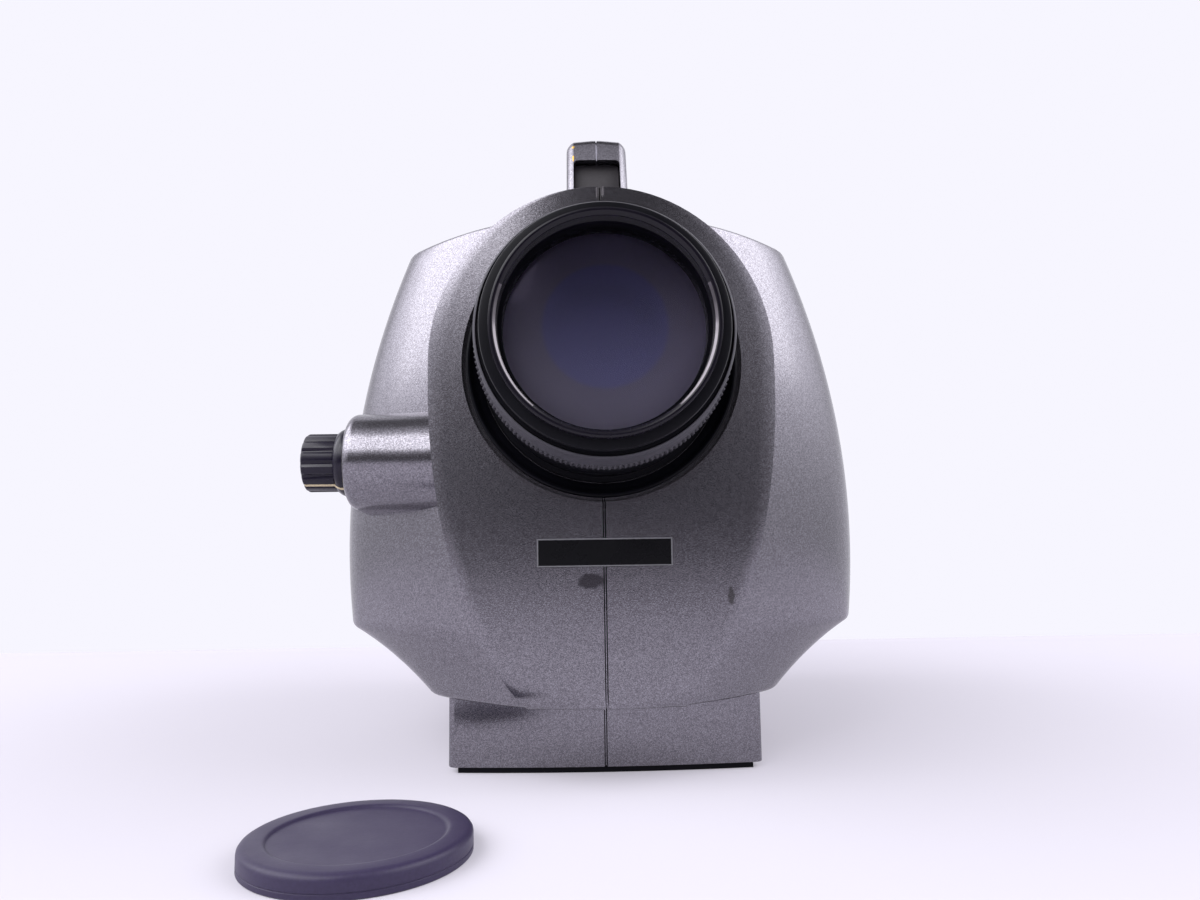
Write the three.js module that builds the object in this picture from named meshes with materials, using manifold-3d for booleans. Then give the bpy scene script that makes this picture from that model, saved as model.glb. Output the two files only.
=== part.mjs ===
// Spectroradiometer: a bench light-measuring instrument with a focusing lens, a field selector
// knob, a reflex finder and a grating spectrometer inside a two-half moulded housing.
// Millimetres, +Z up, the lens looks along -Y, and the table is the plane z = 0.
// Depths are measured from the foot of the plinth's front; the last lines centre the whole.
import * as THREE from 'three';
import { mergeVertices } from 'three/addons/utils/BufferGeometryUtils.js';
import Module from 'manifold-3d';

const wasm = await Module();
wasm.setup();

// Clearances that the whole instrument shares
const seat = 0.2;
const running = 0.3;
const overrun = 2;
const holeSegments = 8;
const coarse = 12;
const medium = 20;
const fine = 32;

// Housing: width against height, and depth
const noseOverhang = 28;
const bodyDepth = 278;
const wall = 3;
const seamGap = 0.5;
const bottomZ = 29;
const undercutHeight = 26.5;
const shoulderClearance = 23.7;
const bottomOverhang = 8.2;
const bulgeClearance = 37;
const bulgeCentreZ = 94;
const bulgeRadius = 265;
const undercutSagitta = 2;
const wingSweepShare = 0.57;
const wingCurvePower = 2.1;
const rearTaperLength = 100;
const rearWidthShare = 0.88;
const rearCornerRadius = 14;

// Nose: the raised cowl round the lens and the spine behind it
const noseRim = 5;
const noseTopRise = 1.6;
const noseTaperDrop = 6.7;
const noseFootHalfWidth = 29;
const noseCrown = 6;

// Plinth that the housing stands on
const plinthHalfWidth = 62.5;
const plinthFrontY = 0;
const plinthRearInset = 25;
const plinthCrown = 3;
const plinthBottomZ = 2.2;
const plinthCornerRadius = 3;

// Base plate, tripod bush and feet
const basePlateBottomZ = 0;
const basePlateThickness = 6;
const basePlateRim = 5.5;
const tripodBushRadius = 9;
const tripodBushBore = 4.8;
const tripodBushHeight = 11;
const tripodBoardGap = 32;
const footRadius = 8;
const footHeight = 2;
const footInset = 14;

// Carrying handle, half in each housing half
const handleRise = 45;
const handleHalfWidth = 13.5;
const handleBar = 16;
const handleSetback = 53;
const handleLength = 165;
const handleRake = 22;
const handleLeg = 24;
const handleRound = 7;
const handleFrontRound = 4;
const handleEdge = 2.6;
const handleSink = 6;
const pocketHalfWidth = 10.3;
const pocketTopDrop = 12;
const pocketDepth = 12;
const insertThickness = 3;

// Knob boss on the left wing
const knobSetback = 30;
const knobDrop = 35.1;
const bossEndInset = 6.7;
const bossWall = 5.6;
const bossFlare = 3.5;
const bossRun = 46;
const bossRound = 3.5;
const bossOverlap = 9;
const bossBoreGap = 2;
const bossBoreRun = 12;

// Lens seat in the nose
const lensAxisZ = 158.7;
const seatRim = 8.2;
const seatDepth = 11;
const seatRingGap = 1.8;
const seatCounterDepth = 8;
const seatBoreStep = 2.5;

// Nose ring round the lens opening
const noseRingWidth = 5.4;
const noseRingLip = 5;
const noseRingLipWidth = 1.7;
const noseRingFunnel = 3.7;

// Lens mount, the fixed barrel
const mountTubeWall = 3;
const mountSleeveStep = 2.2;
const mountFlangeRim = 9.7;
const mountFlange = 4;

// Focus ring
const ringWall = 2.7;
const ringLength = 20;
const ringBevel = 6;
const ringRootDepth = 0.6;
const ringRibs = 40;
const ringReach = 29;
const ringFaceLand = 1;

// Sliding front barrel with its glass
const headWall = 4.4;
const headLength = 4.6;
const headGap = 0.4;
const sleeveWall = 2.2;
const sleeveRearGap = 4;
const glassBore = 36.1;
const glassBoreLength = 22;
const rearGlassStep = 5.8;
const filterRingWall = 2.5;
const filterRingFlange = 3.8;
const filterRingThread = 4.6;
const filterThreadWall = 1.3;
const frontGlassSag = 2.8;
const frontGlassEdge = 7.4;
const frontGlassLand = 2.4;
const frontGlassBackSag = 3;
const stopThickness = 2.2;
const stopBore = 19;
const rearGlassInset = 8;
const rearGlassEdge = 6;
const rearGlassSag = 3;

// Field selector: knob, shaft, bush, detent and gear
const knobRadius = 12;
const knobLength = 13.8;
const knobSkirtRadius = 13.75;
const knobSkirt = 1.9;
const knobGap = 0.4;
const knobFlutes = 18;
const knobFluteDepth = 0.7;
const knobShaftSink = 10;
const shaftRadius = 3;
const bushRadius = 9;
const bushFlangeRim = 3;
const bushFlange = 3;
const bushTail = 3;
const detentRadius = 9;
const detentThickness = 3.5;
const detentNotch = 2;
const fieldCount = 4;

// Field turret behind the lens, driven one to one by the knob
const fieldCircle = 13;
const turretOffsetY = 9.4;
const turretDiscRadius = 20;
const turretDisc = 2;
const turretHubRadius = 5;
const turretGearGap = 2.5;
const gearWidth = 4;
const gearTeeth = 16;
const gearAddendumShare = 0.6;
const gearDedendumShare = 1;
const gearRootShare = 0.31;
const gearTipShare = 0.13;
const fieldHoleRadii = [4.2, 3, 2, 1.2];
const spindleRadius = 2;
const splitterHalf = 11;
const turretSplitterGap = 2;
const turretBracketThickness = 3;
const turretBracketGap = 4;
const turretBracketTop = 14;
const turretBracketSetback = 21;
const turretBracketLength = 57;
const turretFoot = 15;
const beamHole = 6;

// Chassis, the optical bench
const benchDrop = 42.7;
const chassisThickness = 4;
const chassisSideInset = 0.5;
const chassisSetback = 34;
const chassisRearInset = 36;
const chassisNotchLength = 30;
const chassisNotchMargin = 2.5;
const postRadius = 5;
const postInset = 12;

// Beam splitter pedestal, fold mirror and dark shutter
const pedestalRim = 0.5;
const pedestalDepth = 16;
const pedestalFlange = 4;
const mirrorBladeGap = 3.64;
const mirrorSize = 18;
const mirrorThickness = 3;
const mirrorPost = 10;
const mirrorHeadDrop = 12;
const motorRadius = 9;
const motorLength = 8;
const motorOffsetY = 30;
const motorBoss = 1.6;
const bladeThickness = 1;
const bladeRadius = 8;
const bladeArm = 5;
const bladeOpenAngle = 38;

// Spectrometer
const caseLeftMargin = 4.5;
const caseRightMargin = 15;
const caseSetback = 8;
const caseRearInset = 16;
const caseTopRise = 31.3;
const caseWall = 3;
const coverThickness = 3;
const slitPlateRadius = 9;
const slitPlateThickness = 1.5;
const slitHalfWidth = 0.5;
const slitHalfHeight = 4;
const slitPort = 5;
const gratingRadius = 18;
const gratingThickness = 8;
const gratingStem = 7;
const gratingStemRadius = 8;
const gratingDish = 1.2;
const gratingSideGap = 1;
const detectorSlitGap = 5.5;
const detectorHalfWidth = 4.5;
const detectorHalfHeight = 14;
const detectorDepth = 5;
const detectorPort = 2.5;
const coolerDepth = 16;
const coolerBase = 4;
const coolerFins = 5;
const coolerFin = 1.2;
const boardThickness = 1.6;
const boardStandoff = 2;
const detectorBoardLength = 80;
const detectorBoardHeight = 50;
const chipHeight = 2.4;
const chipSize = 14;

// Finder
const finderRadius = 10.5;
const finderBore = 9;
const finderStartGap = 4;
const finderRearInset = 24;
const finderSaddle = 8;
const finderSaddleHalfWidth = 6;
const finderSaddleInset = 46;

// Boards
const powerBoardHalfWidth = 40;
const powerBoardLength = 80;
const powerBoardRearInset = 42;
const powerBoardLift = 8;
const transformerSize = 38;
const transformerHeight = 30;
const capacitorRadius = 8;
const capacitorHeight = 26;
const mainBoardHalfWidth = 61;
const mainBoardBottomZ = 50;
const mainBoardTopZ = 108;
const mainBoardGap = 22;

// Rear panel
const panelHalfWidth = 64;
const panelBottomZ = 48;
const panelTopRise = 39.3;
const panelThickness = 3;
const panelRecess = 0.2;
const panelCorner = 7;
const ledgeWidth = 4;
const panelPostRadius = 3;
const panelPostInset = 5;
const panelPostRise = 7;

// Display and keys
const windowHalfWidth = 42;
const windowHalfHeight = 12;
const windowThickness = 1.4;
const windowLip = 3;
const displayZ = 122;
const displayDepth = 8.8;
const displayMargin = 4;
const keyCount = 5;
const keyPitch = 22;
const keyZ = 90;
const keyHalfWidth = 7;
const keyHalfHeight = 4;
const keyProud = 1.6;
const keyFlange = 1.3;
const keyFlangeRim = 1.2;
const keyTravel = 1.5;
const keySwitchHalf = 3;

// Power rocker, DC inlet and data socket
const lowRowZ = 62;
const rockerX = -44;
const rockerHalfWidth = 5.7;
const rockerHalfLength = 8.6;
const rockerDepth = 6;
const rockerProud = 1.6;
const rockerTilt = 7;
const rockerEndGap = 0.8;
const inletX = -14;
const inletRadius = 7;
const inletFlangeRadius = 9;
const inletFlange = 1.5;
const inletDepth = 14;
const inletBore = 3.4;
const inletBoreDepth = 9;
const inletPinRadius = 1;
const inletPinLength = 7;
const dataX = 28;
const dataHalfWidth = 9.5;
const dataHalfHeight = 5;
const dataFlangeHalfWidth = 15.5;
const dataFlangeHalfHeight = 6.3;
const dataFlange = 0.9;
const dataShellHalfWidth = 8.4;
const dataShellHalfHeight = 4.2;
const dataShellSlantShare = 0.12;
const dataShellProud = 5.8;
const dataDepth = 9;

// Eyepiece
const eyeHole = 17.2;
const eyeNeckRadius = 16.8;
const eyeTubeRadius = 15.5;
const eyeTubeBore = 12.4;
const eyeFlangeRadius = 20;
const eyeFlange = 3;
const eyeTubeInner = 8.6;
const eyeTubeOuter = 20;
const eyeGlassEdge = 4;
const eyeGlassSag = 1.6;
const eyeGlassInset = 7;
const dioptreRadius = 20.4;
const dioptreLength = 9.4;
const dioptreFlutes = 16;
const dioptreFluteDepth = 0.6;
const eyecupRadius = 22;
const eyecupLength = 16;
const eyecupWall = 2.6;
const eyecupCollar = 9;
const leverDistance = 27.5;
const leverAngle = 45;
const leverSwing = 60;
const leverThickness = 2.4;
const leverLength = 15;
const leverWidth = 5;
const leverHub = 3.4;
const leverShaft = 2;
const leverBladeRadius = 13;
const leverBladeThickness = 1.4;
const leverBladeGap = 3;
const leverArmWidth = 5;

// Blank name plate on the nose
const plateHalfWidth = 25.2;
const plateHalfHeight = 5.2;
const plateDrop = 72.5;
const plateDepth = 0.9;
const plateSink = 1.2;

// Lens cap, taken off and lying on the table
const capX = -74.6;
const capY = -84.8;
const capRadius = 33.3;
const capHeight = 6.7;
const capTopWall = 1.8;
const capSkirt = 1.6;
const capEdge = 1.2;
const capDiscShare = 0.78;
const capDiscDrop = 0.8;

// Materials
function finish(color, roughness, metalness, opacity = 1) {
  const transparent = opacity < 1;
  return new THREE.MeshStandardMaterial({ color, roughness, metalness, opacity, transparent });
}
const housingPaint = finish(0x77747d, 0.55, 0.35);
const blackPlastic = finish(0x17161b, 0.3, 0);
const satinBlack = finish(0x0e0d11, 0.5, 0.1);
const knurlGrey = finish(0x3a3840, 0.6, 0.1);
const coatedGlass = finish(0x2c2b52, 0.05, 0, 0.5);
const clearGlass = finish(0xc8d2dc, 0.05, 0, 0.35);
const plateBlack = finish(0x14141a, 0.35, 0.1);
const handleDark = finish(0x46414a, 0.7, 0);
const rubber = finish(0x1a191c, 0.85, 0);
const steel = finish(0xb4b6ba, 0.3, 1);
const mirrored = finish(0xd8dadd, 0.05, 1);
const brass = finish(0xb5934d, 0.35, 1);
const aluminium = finish(0xa5a7ab, 0.45, 1);
const blackAnodised = finish(0x1f1e22, 0.6, 0.4);
const boardGreen = finish(0x1d5a3a, 0.6, 0);
const panelPlastic = finish(0x3a383e, 0.6, 0);
const keyPlastic = finish(0xb9b7b4, 0.6, 0);
const capPlastic = finish(0x2a2735, 0.5, 0);

// Directions that profiles are turned and extruded in
const acrossX = new THREE.Matrix4().makeBasis(
  new THREE.Vector3(0, 1, 0),
  new THREE.Vector3(0, 0, 1),
  new THREE.Vector3(1, 0, 0),
);
const acrossY = new THREE.Matrix4().makeBasis(
  new THREE.Vector3(1, 0, 0),
  new THREE.Vector3(0, 0, 1),
  new THREE.Vector3(0, -1, 0),
);
const lathedOnX = new THREE.Matrix4().makeRotationZ(-Math.PI / 2);
const lathedOnZ = new THREE.Matrix4().makeRotationX(Math.PI / 2);

// A prism of a Y-Z outline from x = startX
function prismX(shape, startX, length, options = {}) {
  const settings = { depth: length, bevelEnabled: false, curveSegments: 8, ...options };
  const geometry = new THREE.ExtrudeGeometry(shape, settings);
  return geometry.applyMatrix4(acrossX).translate(startX, 0, 0);
}

// A prism of an X-Z outline from y = startY
function prismY(shape, startY, length, options = {}) {
  const settings = { depth: length, bevelEnabled: false, curveSegments: 8, ...options };
  const geometry = new THREE.ExtrudeGeometry(shape, settings);
  return geometry.applyMatrix4(acrossY).translate(0, startY + length, 0);
}

// A prism of an X-Y outline from z = startZ
function prismZ(shape, startZ, length, options = {}) {
  const settings = { depth: length, bevelEnabled: false, curveSegments: 8, ...options };
  return new THREE.ExtrudeGeometry(shape, settings).translate(0, 0, startZ);
}

function block(x0, x1, y0, y1, z0, z1) {
  const box = new THREE.BoxGeometry(x1 - x0, y1 - y0, z1 - z0);
  return box.translate((x0 + x1) / 2, (y0 + y1) / 2, (z0 + z1) / 2);
}

function outline(points) {
  return new THREE.Shape(points.map(([u, v]) => new THREE.Vector2(u, v)));
}

// A rectangle with round corners, centred on (u, v)
function roundedRectangle(u, v, halfWidth, halfHeight, radius) {
  const shape = new THREE.Shape();
  shape.moveTo(u - halfWidth + radius, v - halfHeight);
  shape.lineTo(u + halfWidth - radius, v - halfHeight);
  shape.absarc(u + halfWidth - radius, v - halfHeight + radius, radius, -Math.PI / 2, 0);
  shape.lineTo(u + halfWidth, v + halfHeight - radius);
  shape.absarc(u + halfWidth - radius, v + halfHeight - radius, radius, 0, Math.PI / 2);
  shape.lineTo(u - halfWidth + radius, v + halfHeight);
  shape.absarc(u - halfWidth + radius, v + halfHeight - radius, radius, Math.PI / 2, Math.PI);
  shape.lineTo(u - halfWidth, v - halfHeight + radius);
  shape.absarc(u - halfWidth + radius, v - halfHeight + radius, radius, Math.PI, 1.5 * Math.PI);
  return shape;
}

// A polygon whose corners are rounded by the radius given with each point
function roundedOutline(corners) {
  const shape = new THREE.Shape();
  corners.forEach(([u, v, radius], i) => {
    const before = corners[(i + corners.length - 1) % corners.length];
    const after = corners[(i + 1) % corners.length];
    const here = new THREE.Vector2(u, v);
    const back = new THREE.Vector2(before[0], before[1]).sub(here).setLength(radius);
    const ahead = new THREE.Vector2(after[0], after[1]).sub(here).setLength(radius);
    const start = here.clone().add(back);
    const end = here.clone().add(ahead);
    if (i === 0) {
      shape.moveTo(start.x, start.y);
    } else {
      shape.lineTo(start.x, start.y);
    }
    if (radius > 0) {
      shape.quadraticCurveTo(here.x, here.y, end.x, end.y);
    }
  });
  return shape;
}

// A body of revolution about the Y axis, from (radius, y) pairs
function turned(profile, segments) {
  const points = profile.map(([radius, y]) => new THREE.Vector2(radius, y));
  return new THREE.LatheGeometry(points, segments);
}

// A ring or tube about the Y axis
function tube(outer, inner, startY, endY, segments) {
  const profile = [[inner, startY], [outer, startY], [outer, endY], [inner, endY], [inner, startY]];
  return turned(profile, segments);
}

// A rod about the Y axis
function rod(radius, startY, endY, segments) {
  return turned([[0, startY], [radius, startY], [radius, endY], [0, endY]], segments);
}

function onX(geometry) {
  return geometry.applyMatrix4(lathedOnX);
}

function onZ(geometry) {
  return geometry.applyMatrix4(lathedOnZ);
}

// The arc of a lens surface from its rim at (rimRadius, rimY) to its vertex, sag along Y
function lensArc(rimRadius, rimY, sag, steps) {
  const points = [];
  for (let i = 0; i <= steps; i += 1) {
    const share = 1 - i / steps;
    points.push([rimRadius * share, rimY + sag * (1 - share * share)]);
  }
  return points;
}

// Triangles of a closed skin over rings of points, the first and last ring closed by fans
function loft(rings) {
  const count = rings[0].length;
  const positions = rings.flat().flatMap((p) => [p.x, p.y, p.z]);
  const index = [];
  for (let r = 0; r + 1 < rings.length; r += 1) {
    for (let i = 0; i < count; i += 1) {
      const a = r * count + i;
      const b = r * count + ((i + 1) % count);
      index.push(a, b, b + count, a, b + count, a + count);
    }
  }
  const ends = [rings[0], rings[rings.length - 1]];
  ends.forEach((ring, e) => {
    const middle = ring.reduce((sum, p) => sum.add(p), new THREE.Vector3()).divideScalar(count);
    const centre = positions.length / 3;
    const first = e === 0 ? 0 : (rings.length - 1) * count;
    positions.push(middle.x, middle.y, middle.z);
    for (let i = 0; i < count; i += 1) {
      const a = first + i;
      const b = first + ((i + 1) % count);
      index.push(...(e === 0 ? [centre, b, a] : [centre, a, b]));
    }
  });
  const geometry = new THREE.BufferGeometry();
  geometry.setAttribute('position', new THREE.Float32BufferAttribute(positions, 3));
  geometry.setIndex(index);
  return geometry;
}

// A closed geometry as a solid that can be joined and cut
function solid(geometry) {
  const bare = geometry.clone();
  bare.deleteAttribute('normal');
  bare.deleteAttribute('uv');
  const merged = mergeVertices(bare);
  const vertProperties = new Float32Array(merged.attributes.position.array);
  const triVerts = new Uint32Array(merged.index.array);
  let volume = 0;
  const corner = (i) => new THREE.Vector3().fromArray(vertProperties, triVerts[i] * 3);
  for (let i = 0; i < triVerts.length; i += 3) {
    volume += corner(i).dot(corner(i + 1).cross(corner(i + 2)));
  }
  if (volume < 0) {
    triVerts.reverse();
  }
  return new wasm.Manifold(new wasm.Mesh({ numProp: 3, vertProperties, triVerts }));
}

function join(first, ...others) {
  return others.reduce((sum, other) => sum.add(other), first);
}

function cut(first, ...others) {
  return others.reduce((rest, other) => rest.subtract(other), first);
}

// A solid as a geometry with flat normals
function geometryOf(body) {
  const { vertProperties, triVerts } = body.getMesh();
  const geometry = new THREE.BufferGeometry();
  geometry.setAttribute('position', new THREE.BufferAttribute(new Float32Array(vertProperties), 3));
  geometry.setIndex(new THREE.BufferAttribute(new Uint32Array(triVerts), 1));
  geometry.computeVertexNormals();
  return geometry;
}

const spectroradiometer = new THREE.Group();

function addPiece(parent, name, shape, material, x = 0, y = 0, z = 0) {
  const body = shape.isBufferGeometry ? solid(shape) : shape;
  const mesh = new THREE.Mesh(geometryOf(body), material);
  mesh.name = name;
  mesh.position.set(x, y, z);
  parent.add(mesh);
  return mesh;
}

function addGroup(x, y, z) {
  const group = new THREE.Group();
  group.position.set(x, y, z);
  spectroradiometer.add(group);
  return group;
}

// Lens radii, from the glass outwards to the nose that carries them
const sleeveRadius = glassBore + sleeveWall;
const headRadius = glassBore + headWall;
const rearGlassBore = glassBore - rearGlassStep;
const filterThreadRadius = glassBore - seat;
const filterRingBore = filterThreadRadius - filterThreadWall;
const filterRingRadius = filterRingBore + filterRingWall;
const mountBore = sleeveRadius + running;
const mountTubeRadius = mountBore + mountTubeWall;
const mountSleeveRadius = mountTubeRadius + mountSleeveStep;
const ringBore = mountTubeRadius + running;
const ringRadius = ringBore + ringWall;
const ringFaceRadius = ringBore + ringFaceLand;
const seatBore = mountSleeveRadius + seatBoreStep;
const mountFlangeRadius = seatBore + mountFlangeRim;
const noseRingBore = seatBore + running;
const noseRingRadius = noseRingBore + noseRingWidth;
const seatCounterbore = noseRingRadius + seatRingGap;
const seatRadius = seatCounterbore + seatRim;
const noseHalfWidth = seatRadius + noseRim;
const bushFlangeRadius = bushRadius + bushFlangeRim;
const bossBore = bushFlangeRadius + bossBoreGap;
const bossRadius = bossBore + bossWall;
const pedestalHalfWidth = splitterHalf + pedestalRim;

// Heights, from the lens axis
const noseTopZ = lensAxisZ + noseHalfWidth + noseTopRise;
const noseTaperStartZ = lensAxisZ - noseTaperDrop;
const knobAxisZ = lensAxisZ - knobDrop;
const chassisTopZ = lensAxisZ - benchDrop;
const caseTopZ = lensAxisZ + caseTopRise;
const shoulderZ = caseTopZ + coverThickness + shoulderClearance;
const panelTopZ = lensAxisZ + panelTopRise;
const plateZ = lensAxisZ - plateDrop;
const cornerZ = bottomZ + undercutHeight;

// Depths, from the nose and from the rear
const frontY = plinthFrontY - noseOverhang;
const rearY = frontY + bodyDepth;
const sideEndY = rearY - rearTaperLength;
const plinthRearY = rearY - plinthRearInset;
const handleFrontY = frontY + handleSetback;
const handleRearY = handleFrontY + handleLength;
const knobAxisY = frontY + knobSetback;
const bossRootY = knobAxisY + bossRun;
const turretBracketFrontY = frontY + turretBracketSetback;
const turretBracketRearY = turretBracketFrontY + turretBracketLength;
const chassisFrontY = frontY + chassisSetback;
const chassisRearY = rearY - chassisRearInset;
const chassisNotchRearY = chassisFrontY + chassisNotchLength;
const caseFrontY = turretBracketRearY + caseSetback;
const caseRearY = chassisRearY - caseRearInset;
const finderEndY = rearY - finderRearInset;
const powerBoardRearY = rearY - powerBoardRearInset;
const powerBoardFrontY = powerBoardRearY - powerBoardLength;
const tripodY = powerBoardFrontY - tripodBoardGap - tripodBushRadius - wall;

// Places across the instrument, from the beam splitter out to the widest point of the housing
const discRightX = -splitterHalf - turretSplitterGap;
const discLeftX = discRightX - turretDisc;
const gearRightX = discLeftX - turretGearGap;
const gearLeftX = gearRightX - gearWidth;
const bracketRightX = gearLeftX - turretBracketGap;
const bracketLeftX = bracketRightX - turretBracketThickness;
const motorRightX = bracketLeftX - seat;
const motorLeftX = motorRightX - motorLength;
const bladeLeftX = motorLeftX - running - bladeThickness;
const mirrorSpan = (mirrorSize / 2) * Math.SQRT1_2;
const mirrorX = bladeLeftX - mirrorBladeGap - mirrorSpan;
const detectorX = mirrorX - slitPlateRadius - detectorSlitGap - detectorHalfWidth;
const caseLeftX = detectorX - detectorHalfWidth - caseLeftMargin;
const caseRightX = mirrorX + slitPlateRadius + caseRightMargin;
const gratingX = caseLeftX + caseWall + gratingSideGap + gratingRadius;
const bulgeHalfWidth = bulgeClearance - caseLeftX;
const bottomHalfWidth = plinthHalfWidth + bottomOverhang;
const chassisHalfWidth = plinthHalfWidth - chassisSideInset;
const chassisNotchLeftX = bracketLeftX - chassisNotchMargin;
const chassisNotchRightX = discRightX;
const bossEndX = bossEndInset - bulgeHalfWidth;
const bossInnerX = bossOverlap - noseHalfWidth;
const bossBoreEndX = bossInnerX + bossBoreRun;

// Half width of the barrel-shaped side at a height
function bulgeAt(z) {
  const rise = z - bulgeCentreZ;
  return bulgeHalfWidth - bulgeRadius + Math.sqrt(bulgeRadius ** 2 - rise ** 2);
}

// Heights and half widths up the body: a hollow undercut, a corner, then the bulge
const undercutSteps = 4;
const bulgeSteps = 7;
function bodyLevels(inset) {
  const lowZ = bottomZ + inset;
  const lowHalf = bottomHalfWidth - inset;
  const edgeZ = cornerZ + inset * 0.4;
  const edgeHalf = bulgeAt(edgeZ) - inset;
  const topZ = shoulderZ - inset;
  const chord = new THREE.Vector2(edgeHalf - lowHalf, edgeZ - lowZ);
  const inward = new THREE.Vector2(-chord.y, chord.x).normalize();
  const levels = [];
  for (let i = 0; i < undercutSteps; i += 1) {
    const t = i / undercutSteps;
    const bow = undercutSagitta * 4 * t * (1 - t);
    levels.push([lowHalf + chord.x * t + inward.x * bow, lowZ + chord.y * t + inward.y * bow]);
  }
  for (let i = 0; i <= bulgeSteps; i += 1) {
    const z = edgeZ + (topZ - edgeZ) * (i / bulgeSteps);
    levels.push([bulgeAt(z) - inset, z]);
  }
  return levels;
}

// Plan section: swept wings in front, straight sides, a narrower rear with round corners
const wingSteps = 6;
const rearCornerSteps = 3;
function bodyRing(halfWidth, z, inset) {
  const right = [];
  const sweep = wingSweepShare * halfWidth;
  for (let i = 0; i <= wingSteps; i += 1) {
    const share = i / wingSteps;
    right.push([halfWidth * share, frontY + inset + sweep * share ** wingCurvePower]);
  }
  right.push([halfWidth, sideEndY]);
  const rearHalf = halfWidth * rearWidthShare;
  const radius = rearCornerRadius - inset;
  const endY = rearY - inset;
  for (let i = 0; i <= rearCornerSteps; i += 1) {
    const angle = (Math.PI / 2) * (i / rearCornerSteps);
    const x = rearHalf - radius + radius * Math.cos(angle);
    right.push([x, endY - radius + radius * Math.sin(angle)]);
  }
  const left = right.slice(1).reverse().map(([x, y]) => [-x, y]);
  return [...right, ...left].map(([x, y]) => new THREE.Vector3(x, y, z));
}

function bodySolid(inset) {
  return solid(loft(bodyLevels(inset).map(([half, z]) => bodyRing(half, z, inset))));
}

// Half width of the nose at a height: an ellipse below the axis, a circle above it
const noseTopCentreZ = noseTopZ - noseHalfWidth;
const noseFootShare = noseFootHalfWidth / noseHalfWidth;
const noseTaperHeight = (noseTaperStartZ - bottomZ) / Math.sqrt(1 - noseFootShare ** 2);
function noseHalfAt(z, inset) {
  if (z < noseTaperStartZ) {
    const drop = (noseTaperStartZ - z) / noseTaperHeight;
    return noseHalfWidth * Math.sqrt(1 - drop * drop) - inset;
  }
  if (z < noseTopCentreZ) {
    return noseHalfWidth - inset;
  }
  const rise = z - noseTopCentreZ;
  return Math.sqrt((noseHalfWidth - inset) ** 2 - rise ** 2);
}

// The nose and spine: crowned in front, flush with the rear of the body
const noseLowerSteps = 6;
const noseUpperSteps = 8;
const noseCrownSteps = 4;
const noseTopShare = 0.995;
function noseRing(z, inset) {
  const half = noseHalfAt(z, inset);
  const crownHalf = z < noseTopCentreZ ? half : noseHalfWidth - inset;
  const points = [];
  for (let i = -noseCrownSteps; i <= noseCrownSteps; i += 1) {
    const x = half * (i / noseCrownSteps);
    points.push(new THREE.Vector3(x, frontY + inset + noseCrown * (x / crownHalf) ** 2, z));
  }
  points.push(new THREE.Vector3(half, rearY - inset, z));
  points.push(new THREE.Vector3(-half, rearY - inset, z));
  return points;
}
function noseSolid(inset) {
  const lowZ = bottomZ + inset;
  const heights = [];
  for (let i = 0; i < noseLowerSteps; i += 1) {
    heights.push(lowZ + (noseTaperStartZ - lowZ) * (i / noseLowerSteps));
  }
  heights.push(noseTaperStartZ);
  for (let i = 0; i <= noseUpperSteps; i += 1) {
    const angle = (Math.PI / 2) * (i / noseUpperSteps) * noseTopShare;
    heights.push(noseTopCentreZ + (noseHalfWidth - inset) * Math.sin(angle));
  }
  return solid(loft(heights.map((z) => noseRing(z, inset))));
}

// Plan outline of the plinth, crowned in front, inset for the inside of its wall
function plinthShape(inset) {
  const half = plinthHalfWidth - inset;
  const front = plinthFrontY + inset;
  const rear = plinthRearY - inset;
  const round = Math.max(plinthCornerRadius - inset, 0);
  const shape = new THREE.Shape();
  shape.moveTo(-half, rear);
  shape.lineTo(-half, front + plinthCrown + round);
  shape.quadraticCurveTo(-half, front + plinthCrown, -half + round, front + plinthCrown);
  shape.quadraticCurveTo(0, front - plinthCrown, half - round, front + plinthCrown);
  shape.quadraticCurveTo(half, front + plinthCrown, half, front + plinthCrown + round);
  shape.lineTo(half, rear);
  return shape;
}
const plinthCornerSegments = { curveSegments: 6 };
const plinthOuter = prismZ(plinthShape(0), plinthBottomZ, bottomZ + wall - plinthBottomZ, plinthCornerSegments);
const plinthInner = prismZ(
  plinthShape(wall),
  plinthBottomZ - overrun,
  bottomZ + wall + overrun + overrun - plinthBottomZ,
  plinthCornerSegments,
);

// The handle arch in side view, its legs raked, and the pocket in its front leg
const handleTopZ = noseTopZ + handleRise;
const handleFootZ = noseTopZ - handleSink;
const handleInnerTopZ = handleTopZ - handleBar;
const handleBevel = {
  bevelEnabled: true,
  bevelThickness: handleEdge,
  bevelSize: handleEdge,
  bevelOffset: -handleEdge,
  bevelSegments: 2,
  curveSegments: 4,
};
const handleSide = roundedOutline([
  [handleFrontY - handleRake, handleFootZ, 0],
  [handleFrontY, handleTopZ, handleFrontRound],
  [handleRearY, handleTopZ, handleRound],
  [handleRearY + handleRake, handleFootZ, 0],
  [handleRearY + handleRake - handleLeg, handleFootZ, 0],
  [handleRearY - handleLeg, handleInnerTopZ, handleRound],
  [handleFrontY + handleLeg, handleInnerTopZ, handleRound],
  [handleFrontY - handleRake + handleLeg, handleFootZ, 0],
]);
const handleInside = 2 * (handleHalfWidth - handleEdge);
const handleSolid = solid(prismX(handleSide, handleEdge - handleHalfWidth, handleInside, handleBevel));
function rakedY(z) {
  return handleFrontY - handleRake * ((handleTopZ - z) / (handleTopZ - handleFootZ));
}
const pocketTopZ = handleTopZ - pocketTopDrop;
const pocketBottomZ = noseTopZ + seat;
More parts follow.
